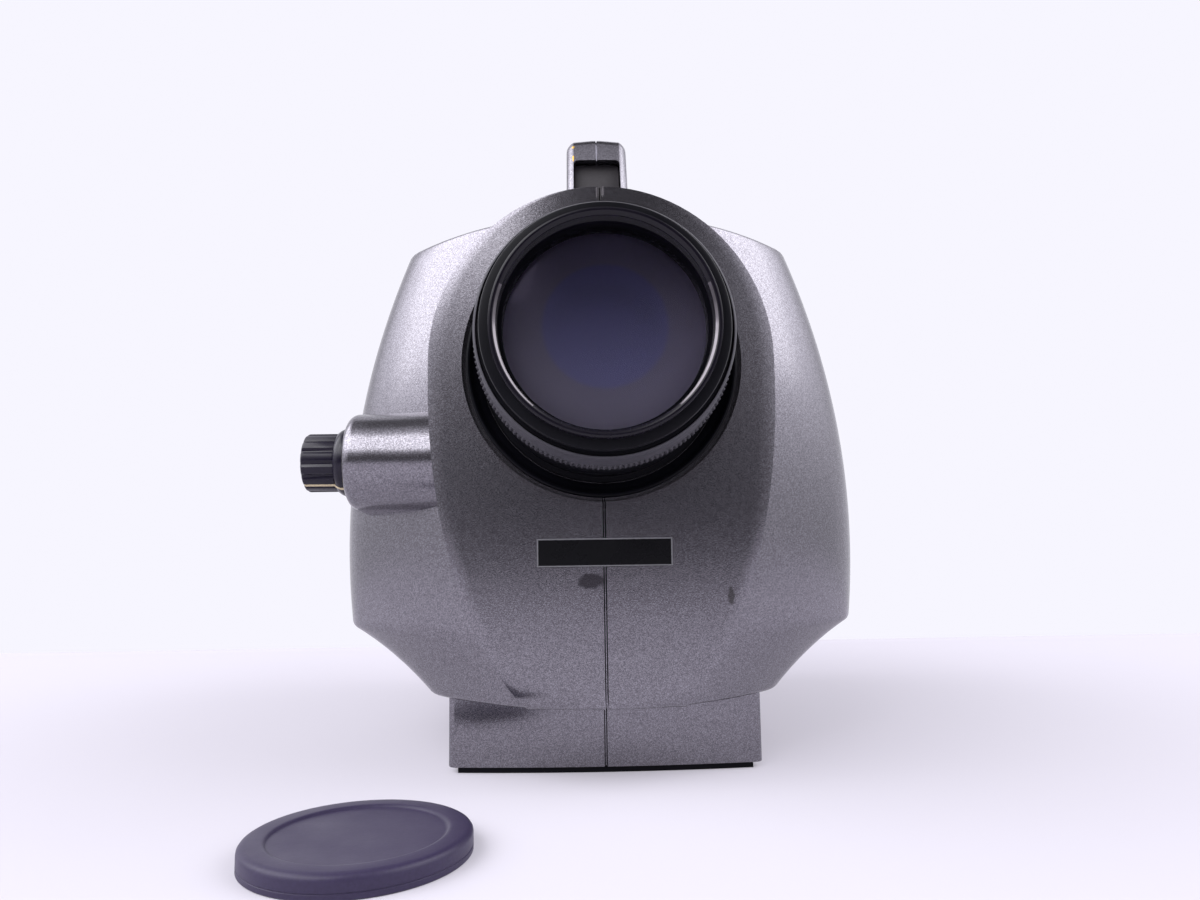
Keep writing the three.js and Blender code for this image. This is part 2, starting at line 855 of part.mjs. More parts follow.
const pocketSide = outline([
  [rakedY(pocketBottomZ) - pocketDepth, pocketBottomZ],
  [rakedY(pocketTopZ) - pocketDepth, pocketTopZ],
  [rakedY(pocketTopZ) + pocketDepth, pocketTopZ],
  [rakedY(pocketBottomZ) + pocketDepth, pocketBottomZ],
]);
const pocket = solid(prismX(pocketSide, -pocketHalfWidth, 2 * pocketHalfWidth));

// The boss on the left wing: round in front, flaring back into the wing
const bossSide = new THREE.Shape();
bossSide.moveTo(bossRootY, knobAxisZ - bossRadius - bossFlare);
bossSide.lineTo(knobAxisY, knobAxisZ - bossRadius);
bossSide.absarc(knobAxisY, knobAxisZ, bossRadius, -Math.PI / 2, Math.PI / 2, true);
bossSide.lineTo(bossRootY, knobAxisZ + bossRadius + bossFlare);
const bossBevel = {
  bevelEnabled: true,
  bevelThickness: bossRound,
  bevelSize: bossRound,
  bevelOffset: -bossRound,
  bevelSegments: 2,
  curveSegments: 8,
};
const bossStartX = bossEndX + bossRound;
const bossSolid = solid(prismX(bossSide, bossStartX, bossInnerX - bossStartX, bossBevel));
const knobAxis = { y: knobAxisY, z: knobAxisZ };
function onKnobAxis(geometry) {
  return onX(geometry).translate(0, knobAxis.y, knobAxis.z);
}
const bossHollow = solid(onKnobAxis(rod(bossBore, bossEndX + wall, bossBoreEndX, coarse)));
const bushHole = solid(onKnobAxis(rod(bushRadius + seat, bossEndX - overrun, bossBoreEndX, coarse)));

// The lens seat: a thick ring inside the nose, stepped for the nose ring
function onLensAxis(geometry) {
  return geometry.translate(0, 0, lensAxisZ);
}
const seatBackY = frontY + seatDepth;
const counterY = frontY + seatCounterDepth;
const lensSeat = solid(onLensAxis(rod(seatRadius, frontY, seatBackY, fine)));
const seatMouth = solid(onLensAxis(rod(seatCounterbore, frontY - overrun, counterY, fine)));
const seatHole = solid(onLensAxis(rod(seatBore, frontY - overrun, seatBackY + overrun, fine)));

// The rear opening and the ledge that the panel sits on
const panelMiddleZ = (panelBottomZ + panelTopZ) / 2;
const panelHalfHeight = (panelTopZ - panelBottomZ) / 2;
function panelShape(grow) {
  const half = panelHalfWidth + grow;
  return roundedRectangle(0, panelMiddleZ, half, panelHalfHeight + grow, panelCorner);
}
const panelOuterY = rearY - panelRecess;
const panelInnerY = panelOuterY - panelThickness;
const ledgeY = panelInnerY - seat - wall;
const rearOpening = solid(prismY(panelShape(running), panelInnerY - seat, wall + panelThickness));
const ledgeBlank = solid(prismY(panelShape(ledgeWidth), ledgeY, rearY - ledgeY));
const ledgeOpening = solid(prismY(panelShape(-ledgeWidth), ledgeY - overrun, wall + 2 * overrun));

// The recess for the blank name plate
function plateShape(grow) {
  return outline([
    [-plateHalfWidth - grow, plateZ - plateHalfHeight - grow],
    [plateHalfWidth + grow, plateZ - plateHalfHeight - grow],
    [plateHalfWidth + grow, plateZ + plateHalfHeight + grow],
    [-plateHalfWidth - grow, plateZ + plateHalfHeight + grow],
  ]);
}
const plateRecess = solid(prismY(plateShape(seat), frontY - overrun, overrun + plateSink));

// The whole housing, then its two halves
const outer = join(bodySolid(0), noseSolid(0), solid(plinthOuter), handleSolid, bossSolid);
const hollow = join(bodySolid(wall), noseSolid(wall), solid(plinthInner));
const innerRing = join(lensSeat, ledgeBlank).intersect(outer);
const housing = cut(
  join(cut(outer, hollow), innerRing),
  seatMouth,
  seatHole,
  bossHollow,
  bushHole,
  rearOpening,
  ledgeOpening,
  plateRecess,
  pocket,
);
const reach = 2 * bulgeHalfWidth;
const keepLeft = solid(block(-reach, -seamGap / 2, -reach, rearY + reach, -reach, 2 * reach));
const keepRight = solid(block(seamGap / 2, reach, -reach, rearY + reach, -reach, 2 * reach));
addPiece(spectroradiometer, 'left_shell', housing.intersect(keepLeft), housingPaint);
addPiece(spectroradiometer, 'right_shell', housing.intersect(keepRight), housingPaint);

// Blank name plate
const plateFrontY = frontY + plateSink - seat - plateDepth;
addPiece(spectroradiometer, 'name_plate', prismY(plateShape(0), plateFrontY, plateDepth), plateBlack);

// Dark insert at the back of the handle pocket
const insertBackY = pocketDepth - seat;
const insertSide = outline([
  [rakedY(pocketBottomZ + seat) + insertBackY - insertThickness, pocketBottomZ + seat],
  [rakedY(pocketTopZ - seat) + insertBackY - insertThickness, pocketTopZ - seat],
  [rakedY(pocketTopZ - seat) + insertBackY, pocketTopZ - seat],
  [rakedY(pocketBottomZ + seat) + insertBackY, pocketBottomZ + seat],
]);
const insertHalf = pocketHalfWidth - seat;
addPiece(spectroradiometer, 'handle_insert', prismX(insertSide, -insertHalf, 2 * insertHalf), handleDark);

// Base plate: a black plate set into the plinth, its lower step standing proud
const plateInset = wall + running;
const basePlateTopZ = basePlateBottomZ + basePlateThickness;
const basePlateStepZ = plinthBottomZ + seat;
const footZ = footHeight;
function footPlaces() {
  const x = plinthHalfWidth - basePlateRim - footInset;
  const front = plinthFrontY + basePlateRim + footInset;
  const rear = plinthRearY - basePlateRim - footInset;
  return [
    ['foot_front_left', -x, front],
    ['foot_front_right', x, front],
    ['foot_rear_left', -x, rear],
    ['foot_rear_right', x, rear],
  ];
}
const tripodPocketRadius = tripodBushRadius + seat;
const basePlate = cut(
  join(
    solid(prismZ(plinthShape(plateInset), basePlateStepZ, basePlateTopZ - basePlateStepZ)),
    solid(prismZ(plinthShape(basePlateRim), basePlateBottomZ, basePlateTopZ - basePlateBottomZ)),
  ),
  solid(onZ(rod(tripodPocketRadius, -overrun, basePlateTopZ + overrun, coarse)).translate(0, tripodY, 0)),
  ...footPlaces().map(([, x, y]) => {
    const recess = rod(footRadius + seat, -overrun, footZ + seat, coarse);
    return solid(onZ(recess).translate(x, y, 0));
  }),
);
addPiece(spectroradiometer, 'base_plate', basePlate, satinBlack);
footPlaces().forEach(([name, x, y]) => {
  addPiece(spectroradiometer, name, onZ(rod(footRadius, 0, footHeight, coarse)), rubber, x, y, 0);
});

// Tripod bush: a flanged blind bush that the base plate carries
const bushTopZ = basePlateTopZ + seat + tripodBushHeight;
const tripodBush = turned(
  [
    [tripodBushBore, basePlateBottomZ],
    [tripodBushRadius, basePlateBottomZ],
    [tripodBushRadius, basePlateTopZ + seat],
    [tripodBushRadius + wall, basePlateTopZ + seat],
    [tripodBushRadius + wall, basePlateTopZ + seat + wall],
    [tripodBushRadius, basePlateTopZ + seat + wall],
    [tripodBushRadius, bushTopZ],
    [0, bushTopZ],
    [0, bushTopZ - wall],
    [tripodBushBore, bushTopZ - wall],
    [tripodBushBore, basePlateBottomZ],
  ],
  coarse,
);
addPiece(spectroradiometer, 'tripod_bush', onZ(tripodBush), steel, 0, tripodY, 0);

// Lens group, measured along the axis from the foremost point of the housing
const lens = addGroup(0, frontY, lensAxisZ);
const noseRingBackY = seatCounterDepth - seat;
const lipY = noseRingBackY - noseRingLip;
const noseRing3 = turned(
  [
    [noseRingBore, noseRingBackY],
    [noseRingRadius, noseRingBackY],
    [noseRingRadius, lipY],
    [noseRingRadius - noseRingLipWidth / 2, lipY - noseRingLipWidth / 4],
    [noseRingRadius - noseRingLipWidth, lipY],
    [noseRingBore, lipY + noseRingFunnel],
    [noseRingBore, noseRingBackY],
  ],
  fine,
);
addPiece(lens, 'nose_ring', noseRing3, satinBlack);

// Fixed lens mount, bolted behind the seat
const ringRearY = -ringReach;
const ringFrontY = ringRearY - ringLength;
const mountFlangeY = seatDepth + seat;
const mountBackY = mountFlangeY + mountFlange;
const mountTubeFrontY = ringFrontY + 2 * running;
const mount = turned(
  [
    [mountBore, mountTubeFrontY],
    [mountTubeRadius, mountTubeFrontY],
    [mountTubeRadius, ringRearY + running],
    [mountSleeveRadius, ringRearY + running],
    [mountSleeveRadius, seatCounterDepth],
    [seatBore - running, seatCounterDepth],
    [seatBore - running, mountFlangeY],
    [mountFlangeRadius, mountFlangeY],
    [mountFlangeRadius, mountBackY],
    [mountBore, mountBackY],
    [mountBore, mountTubeFrontY],
  ],
  fine,
);
addPiece(lens, 'lens_mount', mount, satinBlack);

// Focus ring: ribs between a bevelled front face and a plain rear edge
function ribbedShape(radius, depth, ribs, bore) {
  const shape = new THREE.Shape();
  for (let i = 0; i < ribs; i += 1) {
    const angle = (2 * Math.PI * i) / ribs;
    const half = Math.PI / ribs;
    const tip = new THREE.Vector2(radius * Math.cos(angle), radius * Math.sin(angle));
    const rootAngle = angle + half;
    const root = new THREE.Vector2((radius - depth) * Math.cos(rootAngle), (radius - depth) * Math.sin(rootAngle));
    if (i === 0) {
      shape.moveTo(tip.x, tip.y);
    } else {
      shape.lineTo(tip.x, tip.y);
    }
    shape.lineTo(root.x, root.y);
  }
  const hole = new THREE.Path();
  hole.absarc(0, 0, bore, 0, 2 * Math.PI, true);
  shape.holes.push(hole);
  return shape;
}
const ribbedRing = prismY(
  ribbedShape(ringRadius, ringRootDepth, ringRibs, ringBore),
  ringFrontY,
  ringLength,
  { curveSegments: medium },
);
const ringEnvelope = turned(
  [
    [0, ringFrontY],
    [ringFaceRadius, ringFrontY],
    [ringRadius - ringRootDepth, ringFrontY + ringBevel],
    [ringRadius + overrun, ringFrontY + ringBevel],
    [ringRadius + overrun, ringRearY - ringRootDepth],
    [ringRadius - ringRootDepth, ringRearY],
    [0, ringRearY],
  ],
  fine,
);
addPiece(lens, 'focus_ring', solid(ribbedRing).intersect(solid(ringEnvelope)), knurlGrey);

// Sliding front barrel
const headBackY = ringFrontY - headGap;
const headFrontY = headBackY - headLength;
const glassStepY = headFrontY + glassBoreLength;
const sleeveBackY = mountBackY - sleeveRearGap;
const barrel = turned(
  [
    [glassBore, headFrontY],
    [headRadius, headFrontY],
    [headRadius, headBackY],
    [sleeveRadius, headBackY],
    [sleeveRadius, sleeveBackY],
    [rearGlassBore, sleeveBackY],
    [rearGlassBore, glassStepY],
    [glassBore, glassStepY],
    [glassBore, headFrontY],
  ],
  fine,
);
addPiece(lens, 'front_barrel', barrel, satinBlack);

// Filter ring, screwed into the barrel head
const filterBackY = headFrontY - seat;
const filterFrontY = filterBackY - filterRingFlange;
const filterThreadY = filterBackY + filterRingThread;
const filterChamfer = (filterRingRadius - filterRingBore) / 4;
const filterRing = turned(
  [
    [filterRingBore, filterFrontY + filterChamfer],
    [filterRingBore + filterChamfer, filterFrontY],
    [filterRingRadius - filterChamfer, filterFrontY],
    [filterRingRadius, filterFrontY + filterChamfer],
    [filterRingRadius, filterBackY],
    [filterThreadRadius, filterBackY],
    [filterThreadRadius, filterThreadY],
    [filterRingBore, filterThreadY],
    [filterRingBore, filterFrontY + filterChamfer],
  ],
  fine,
);
addPiece(lens, 'filter_ring', filterRing, satinBlack);

// Front glass, convex both ways, with a flat land at its rim
const glassFrontY = filterThreadY + seat;
const glassRadius = glassBore - running;
const glassLandRadius = glassRadius - frontGlassLand;
const frontGlass = turned(
  [
    ...lensArc(glassLandRadius, glassFrontY, -frontGlassSag, 5).reverse(),
    [glassRadius, glassFrontY],
    [glassRadius, glassFrontY + frontGlassEdge],
    ...lensArc(glassLandRadius, glassFrontY + frontGlassEdge, frontGlassBackSag, 3),
  ],
  medium,
);
addPiece(lens, 'front_lens', frontGlass, coatedGlass);

// Stop plate on the step in the barrel, and the rear glass behind it
const stopBackY = glassStepY - seat;
const stopPlate = tube(glassBore - seat, stopBore, stopBackY - stopThickness, stopBackY, medium);
addPiece(lens, 'lens_stop', stopPlate, satinBlack);
const rearGlassY = glassStepY + rearGlassInset;
const rearGlassRadius = rearGlassBore - running;
const rearGlass = turned(
  [
    ...lensArc(rearGlassRadius, rearGlassY, -rearGlassSag, 3).reverse(),
    ...lensArc(rearGlassRadius, rearGlassY + rearGlassEdge, rearGlassSag, 3),
  ],
  medium,
);
addPiece(lens, 'rear_lens', rearGlass, coatedGlass);

// Field selector on the knob axis, which runs along X
const selector = addGroup(0, knobAxisY, knobAxisZ);
const skirtRightX = bossEndX - knobGap;
const skirtLeftX = skirtRightX - knobSkirt;
const knobLeftX = skirtLeftX - knobLength;
function flutedShape(radius, depth, flutes, bore) {
  const shape = new THREE.Shape();
  const pitch = (2 * Math.PI) / flutes;
  const shares = [[0.1, 0], [0.5, 0], [0.7, 1], [0.9, 1]];
  for (let i = 0; i < flutes; i += 1) {
    shares.forEach(([share, deep], k) => {
      const angle = pitch * (i + share);
      const r = radius - depth * deep;
      if (i === 0 && k === 0) {
        shape.moveTo(r * Math.cos(angle), r * Math.sin(angle));
      } else {
        shape.lineTo(r * Math.cos(angle), r * Math.sin(angle));
      }
    });
  }
  if (bore > 0) {
    const hole = new THREE.Path();
    hole.absarc(0, 0, bore, 0, 2 * Math.PI, true);
    shape.holes.push(hole);
  }
  return shape;
}
const shaftLeftX = knobLeftX + knobLength - knobShaftSink;
const shaftHole = rod(shaftRadius + seat, shaftLeftX - seat, skirtRightX + overrun, coarse);
const knobGrip = prismX(flutedShape(knobRadius, knobFluteDepth, knobFlutes, 0), knobLeftX, knobLength);
const knobCrown = onX(turned(
  [
    [0, knobLeftX],
    [knobRadius - 2 * knobFluteDepth, knobLeftX],
    [knobRadius + overrun, knobLeftX + 2 * knobFluteDepth + overrun],
    [knobRadius + overrun, skirtLeftX + overrun],
    [0, skirtLeftX + overrun],
  ],
  medium,
));
const knobSkirtDisc = onX(rod(knobSkirtRadius, skirtLeftX, skirtRightX, medium));
const knob = cut(
  join(solid(knobGrip).intersect(solid(knobCrown)), solid(knobSkirtDisc)),
  solid(onX(shaftHole)),
);
addPiece(selector, 'field_knob', knob, blackPlastic);

// Bush in the end wall of the boss, flanged inside
const bushFlangeX = bossEndX + wall + seat;
const bushEndX = bushFlangeX + bushFlange + bushTail;
const bush = turned(
  [
    [shaftRadius + running, bossEndX],
    [bushRadius, bossEndX],
    [bushRadius, bushFlangeX],
    [bushFlangeRadius, bushFlangeX],
    [bushFlangeRadius, bushFlangeX + bushFlange],
    [bushRadius, bushFlangeX + bushFlange],
    [bushRadius, bushEndX],
    [shaftRadius + running, bushEndX],
    [shaftRadius + running, bossEndX],
  ],
  coarse,
);
addPiece(selector, 'knob_bush', onX(bush), brass);

// Detent wheel: one notch for each measuring field
const detentX = bushEndX + running;
const detentHub = onX(tube(detentRadius, shaftRadius + seat, detentX, detentX + detentThickness, coarse));
const detentNotches = [];
for (let i = 0; i < fieldCount; i += 1) {
  const angle = (2 * Math.PI * i) / fieldCount;
  const notch = onX(rod(detentNotch, detentX - overrun, detentX + detentThickness + overrun, 8));
  notch.translate(0, detentRadius * Math.cos(angle), detentRadius * Math.sin(angle));
  detentNotches.push(solid(notch));
}
addPiece(selector, 'detent_wheel', cut(solid(detentHub), ...detentNotches), steel);

// Gear pair geometry: equal gears, so the centre distance gives both pitch circles
const turretY = knobAxisY + turretOffsetY;
const turretZ = lensAxisZ - fieldCircle;
const gearLineAngle = Math.atan2(turretZ - knobAxisZ, turretY - knobAxisY);
const gearPitchRadius = Math.hypot(turretZ - knobAxisZ, turretY - knobAxisY) / 2;
const gearModule = (2 * gearPitchRadius) / gearTeeth;
function gearShape(firstToothAngle, bore) {
  const tip = gearPitchRadius + gearAddendumShare * gearModule;
  const root = gearPitchRadius - gearDedendumShare * gearModule;
  const pitch = (2 * Math.PI) / gearTeeth;
  const shape = new THREE.Shape();
  for (let i = 0; i < gearTeeth; i += 1) {
    const middle = firstToothAngle + pitch * i;
    const corners = [
      [root, -gearRootShare],
      [tip, -gearTipShare],
      [tip, gearTipShare],
      [root, gearRootShare],
    ];
    corners.forEach(([r, share], k) => {
      const angle = middle + pitch * share;
      if (i === 0 && k === 0) {
        shape.moveTo(r * Math.cos(angle), r * Math.sin(angle));
      } else {
        shape.lineTo(r * Math.cos(angle), r * Math.sin(angle));
      }
    });
  }
  const hole = new THREE.Path();
  hole.absarc(0, 0, bore, 0, 2 * Math.PI, true);
  shape.holes.push(hole);
  return shape;
}

// The drive gear at the inner end of the shaft
const shaftRightX = gearRightX + seat;
const driveGear = prismX(gearShape(gearLineAngle, shaftRadius + seat), gearLeftX, gearWidth);
addPiece(selector, 'drive_gear', driveGear, brass);
addPiece(selector, 'knob_shaft', onX(rod(shaftRadius, shaftLeftX, shaftRightX, coarse)), steel);

// Field turret: disc with four field stops, hub and gear in one
const turret = addGroup(0, turretY, turretZ);
const halfPitch = Math.PI / gearTeeth;
const spindleBore = spindleRadius + running;
const turretGear = prismX(gearShape(gearLineAngle + Math.PI + halfPitch, spindleBore), gearLeftX, gearWidth);
const turretHub = onX(tube(turretHubRadius, spindleBore, gearLeftX, discRightX, coarse));
const turretPlate = onX(tube(turretDiscRadius, spindleBore, discLeftX, discRightX, medium));
const fieldHoles = fieldHoleRadii.map((radius, i) => {
  const angle = Math.PI / 2 + (2 * Math.PI * i) / fieldHoleRadii.length;
  const hole = onX(rod(radius, discLeftX - overrun, discRightX + overrun, holeSegments));
  return solid(hole.translate(0, fieldCircle * Math.cos(angle), fieldCircle * Math.sin(angle)));
});
const turretBody = join(solid(turretPlate), solid(turretHub), solid(turretGear));
addPiece(turret, 'field_turret', cut(turretBody, ...fieldHoles), blackAnodised);
const spindle = onX(rod(spindleRadius, bracketLeftX, discRightX, coarse));
addPiece(turret, 'turret_spindle', spindle, steel);

// Turret bracket: an upright plate with a foot on the bench
const bracketFloorZ = chassisTopZ + seat;
const bracketTopZ = lensAxisZ + turretBracketTop;
const uprightSide = outline([
  [turretBracketFrontY, bracketFloorZ],
  [turretBracketRearY, bracketFloorZ],
  [turretBracketRearY, bracketTopZ],
  [turretBracketFrontY, bracketTopZ],
]);
function boreX(radius, y, z) {
  const hole = onX(rod(radius, bracketLeftX - overrun, bracketRightX + overrun, coarse));
  return solid(hole.translate(0, y, z));
}
const bracketFoot = block(
  bracketLeftX - turretFoot,
  bracketLeftX + overrun,
  chassisFrontY,
  turretBracketRearY,
  bracketFloorZ,
  bracketFloorZ + wall,
);
const turretBracket = cut(
  join(solid(prismX(uprightSide, bracketLeftX, turretBracketThickness)), solid(bracketFoot)),
  boreX(shaftRadius + running, knobAxisY, knobAxisZ),
  boreX(spindleRadius + seat, turretY, turretZ),
  boreX(beamHole, turretY, lensAxisZ),
);
addPiece(spectroradiometer, 'turret_bracket', turretBracket, blackAnodised);

// Chassis: the bench plate, notched round the gears, on four cast posts
const chassisBottomZ = chassisTopZ - chassisThickness;
const chassisPlan = outline([
  [-chassisHalfWidth, chassisRearY],
  [-chassisHalfWidth, chassisFrontY],
  [chassisNotchLeftX, chassisFrontY],
  [chassisNotchLeftX, chassisNotchRearY],
  [chassisNotchRightX, chassisNotchRearY],
  [chassisNotchRightX, chassisFrontY],
  [chassisHalfWidth, chassisFrontY],
  [chassisHalfWidth, chassisRearY],
]);
const postX = chassisHalfWidth - postInset;
const postPlaces = [
  [-postX, chassisFrontY + postInset],
  [postX, chassisFrontY + postInset],
  [-postX, chassisRearY - postInset],
  [postX, chassisRearY - postInset],
];
const posts = postPlaces.map(([x, y]) => {
  const post = onZ(rod(postRadius, basePlateTopZ + seat, chassisTopZ - wall / 2, coarse));
  return solid(post.translate(x, y, 0));
});
const chassis = join(solid(prismZ(chassisPlan, chassisBottomZ, chassisThickness)), ...posts);
addPiece(spectroradiometer, 'chassis', chassis, aluminium);

// Beam splitter cube on its pedestal
const splitterBottomZ = lensAxisZ - splitterHalf;
const cube = new THREE.BoxGeometry(2 * splitterHalf, 2 * splitterHalf, 2 * splitterHalf);
addPiece(spectroradiometer, 'beam_splitter', cube, clearGlass, 0, turretY, lensAxisZ);
const pedestalFrontY = Math.max(turretY - pedestalDepth / 2, chassisFrontY);
const pedestalRearY = pedestalFrontY + pedestalDepth;
const pedestal = join(
  solid(block(
    -pedestalHalfWidth / 2,
    pedestalHalfWidth / 2,
    pedestalFrontY,
    pedestalRearY,
    bracketFloorZ,
    splitterBottomZ - seat,
  )),
  solid(block(
    -pedestalHalfWidth,
    pedestalHalfWidth,
    pedestalFrontY,
    pedestalRearY,
    splitterBottomZ - seat - pedestalFlange,
    splitterBottomZ - seat,
  )),
  solid(block(
    -pedestalHalfWidth,
    pedestalHalfWidth,
    pedestalFrontY,
    pedestalRearY,
    bracketFloorZ,
    bracketFloorZ + pedestalFlange,
  )),
);
addPiece(spectroradiometer, 'splitter_pedestal', pedestal, blackAnodised);

// Fold mirror, turned 45 degrees, and the bracket behind it
const mirrorBlank = new THREE.BoxGeometry(mirrorSize, mirrorThickness, mirrorSize);
const mirror = addPiece(spectroradiometer, 'fold_mirror', mirrorBlank, mirrored);
mirror.rotation.z = -Math.PI / 4;
const diagonal = Math.SQRT1_2;
const mirrorBackStep = (mirrorThickness / 2) * diagonal;
mirror.position.set(mirrorX - mirrorBackStep, turretY - mirrorBackStep, lensAxisZ);
const bracketStep = (mirrorThickness + running) * diagonal;
const mirrorHead = outline([
  [mirrorX - bracketStep - mirrorSpan, turretY - bracketStep + mirrorSpan],
  [mirrorX - bracketStep - mirrorSpan - mirrorPost, turretY - bracketStep + mirrorSpan],
  [mirrorX - bracketStep - mirrorSpan - mirrorPost, turretY - bracketStep],
  [mirrorX - bracketStep + mirrorSpan, turretY - bracketStep - mirrorSpan],
]);
const mirrorHeadZ = lensAxisZ - mirrorHeadDrop;
const mirrorPostX = mirrorX - bracketStep - mirrorSpan - mirrorPost;
const mirrorBracket = join(
  solid(prismZ(mirrorHead, mirrorHeadZ, mirrorHeadDrop + mirrorSize / 2)),
  solid(block(
    mirrorPostX,
    mirrorPostX + mirrorPost,
    turretY - bracketStep,
    turretY - bracketStep + mirrorSpan,
    bracketFloorZ,
    mirrorHeadZ + overrun,
  )),
);
addPiece(spectroradiometer, 'mirror_bracket', mirrorBracket, blackAnodised);

// Dark shutter motor on the bracket, its blade swinging across the beam
const motorY = turretY + motorOffsetY;
const motor = turned(
  [
    [0, motorLeftX - motorBoss],
    [motorBoss, motorLeftX - motorBoss],
    [motorBoss, motorLeftX],
    [motorRadius, motorLeftX],
    [motorRadius, motorRightX],
    [0, motorRightX],
  ],
  coarse,
);
addPiece(spectroradiometer, 'shutter_motor', onX(motor), steel, 0, motorY, lensAxisZ);
const blade = addGroup(0, motorY, lensAxisZ);
const openAngle = THREE.MathUtils.degToRad(bladeOpenAngle);
const bladeShape = new THREE.Shape();
bladeShape.absarc(-motorOffsetY, 0, bladeRadius, 0.25 * Math.PI, 1.75 * Math.PI, false);
bladeShape.lineTo(0, -bladeArm);
bladeShape.absarc(0, 0, bladeArm, -Math.PI / 2, Math.PI / 2, false);
const bladeHole = new THREE.Path();
bladeHole.absarc(0, 0, motorBoss + running, 0, 2 * Math.PI, true);
bladeShape.holes.push(bladeHole);
const bladePiece = prismX(bladeShape, bladeLeftX, bladeThickness);
bladePiece.rotateX(openAngle);
addPiece(blade, 'dark_shutter', bladePiece, satinBlack);

// Spectrometer case: an open box on the bench, with ports for the slit and the detector
const caseFloorZ = chassisTopZ + seat;
function portY(x, halfWidth, halfHeight, startY, length) {
  return solid(block(
    x - halfWidth,
    x + halfWidth,
    startY,
    startY + length,
    lensAxisZ - halfHeight,
    lensAxisZ + halfHeight,
  ));
}
const caseBody = cut(
  solid(block(caseLeftX, caseRightX, caseFrontY, caseRearY, caseFloorZ, caseTopZ)),
  solid(block(
    caseLeftX + caseWall,
    caseRightX - caseWall,
    caseFrontY + caseWall,
    caseRearY - caseWall,
    caseFloorZ + caseWall,
    caseTopZ + overrun,
  )),
  portY(mirrorX, slitPort, slitPort, caseFrontY - overrun, caseWall + 2 * overrun),
  portY(detectorX, detectorPort, detectorHalfHeight - caseWall, caseFrontY - overrun, caseWall + 2 * overrun),
);
addPiece(spectroradiometer, 'spectrometer_case', caseBody, blackAnodised);
const coverZ = caseTopZ + seat;
const caseCover = block(caseLeftX, caseRightX, caseFrontY, caseRearY, coverZ, coverZ + coverThickness);
addPiece(spectroradiometer, 'spectrometer_cover', caseCover, blackAnodised);
const slitBackY = caseFrontY - seat;
const slitPlate = cut(
  solid(rod(slitPlateRadius, slitBackY - slitPlateThickness, slitBackY, coarse).translate(mirrorX, 0, lensAxisZ)),
  portY(mirrorX, slitHalfWidth, slitHalfHeight, slitBackY - slitPlateThickness - overrun, slitPlateThickness + 2 * overrun),
);
addPiece(spectroradiometer, 'slit_plate', slitPlate, steel);

// Concave grating on its stem at the rear wall
const gratingBackY = caseRearY - caseWall - seat;
const gratingFrontY = gratingBackY - gratingStem - gratingThickness;
const grating = turned(
  [
    ...lensArc(gratingRadius, gratingFrontY, gratingDish, 4).reverse(),
    [gratingRadius, gratingFrontY + gratingThickness],
    [gratingStemRadius, gratingFrontY + gratingThickness],
    [gratingStemRadius, gratingBackY],
    [0, gratingBackY],
  ],
  coarse,
);
addPiece(spectroradiometer, 'grating', grating, mirrored, gratingX, 0, lensAxisZ);

// Detector package over its port, with the finned cooler on its back
const detectorBackY = caseFrontY - seat;
const detectorFrontY = detectorBackY - detectorDepth;
const detector = block(
  detectorX - detectorHalfWidth,
  detectorX + detectorHalfWidth,
  detectorFrontY,
  detectorBackY,
  lensAxisZ - detectorHalfHeight,
  lensAxisZ + detectorHalfHeight,
);
addPiece(spectroradiometer, 'detector_array', detector, blackPlastic);
const coolerBackY = detectorFrontY - seat;
const coolerFrontY = coolerBackY - coolerDepth;
const finPitch = (2 * detectorHalfHeight - coolerFin) / (coolerFins - 1);
const coolerParts = [solid(block(
  detectorX - detectorHalfWidth,
  detectorX + detectorHalfWidth,
  coolerBackY - coolerBase,
  coolerBackY,
  lensAxisZ - detectorHalfHeight,
  lensAxisZ + detectorHalfHeight,
))];
for (let i = 0; i < coolerFins; i += 1) {
  const finZ = lensAxisZ - detectorHalfHeight + finPitch * i;
  coolerParts.push(solid(block(
    detectorX - detectorHalfWidth,
    detectorX + detectorHalfWidth,
    coolerFrontY,
    coolerBackY,
    finZ,
    finZ + coolerFin,
  )));
}
addPiece(spectroradiometer, 'detector_cooler', join(...coolerParts), aluminium);

// Detector board on the outer side of the case, on four spacers
const boardX = caseLeftX - seat - boardStandoff - boardThickness;
const boardMiddleY = (caseFrontY + caseRearY) / 2;
const boardY0 = boardMiddleY - detectorBoardLength / 2;
const boardY1 = boardMiddleY + detectorBoardLength / 2;
const boardMiddleZ = (caseFloorZ + caseTopZ) / 2;
const boardZ0 = boardMiddleZ - detectorBoardHeight / 2;
const boardZ1 = boardMiddleZ + detectorBoardHeight / 2;
const boardParts = [solid(block(boardX, boardX + boardThickness, boardY0, boardY1, boardZ0, boardZ1))];
[boardY0 + postRadius, boardY1 - postRadius].forEach((y) => {
  [boardZ0 + postRadius, boardZ1 - postRadius].forEach((z) => {
    const spacer = onX(rod(panelPostRadius, boardX, caseLeftX - seat, 8));
    boardParts.push(solid(spacer.translate(0, y, z)));
  });
});
boardParts.push(solid(block(
  boardX - chipHeight,
  boardX + boardThickness / 2,
  boardMiddleY - chipSize,
  boardMiddleY + chipSize,
  boardMiddleZ - chipSize / 2,
  boardMiddleZ + chipSize / 2,
)));
addPiece(spectroradiometer, 'detector_board', join(...boardParts), boardGreen);

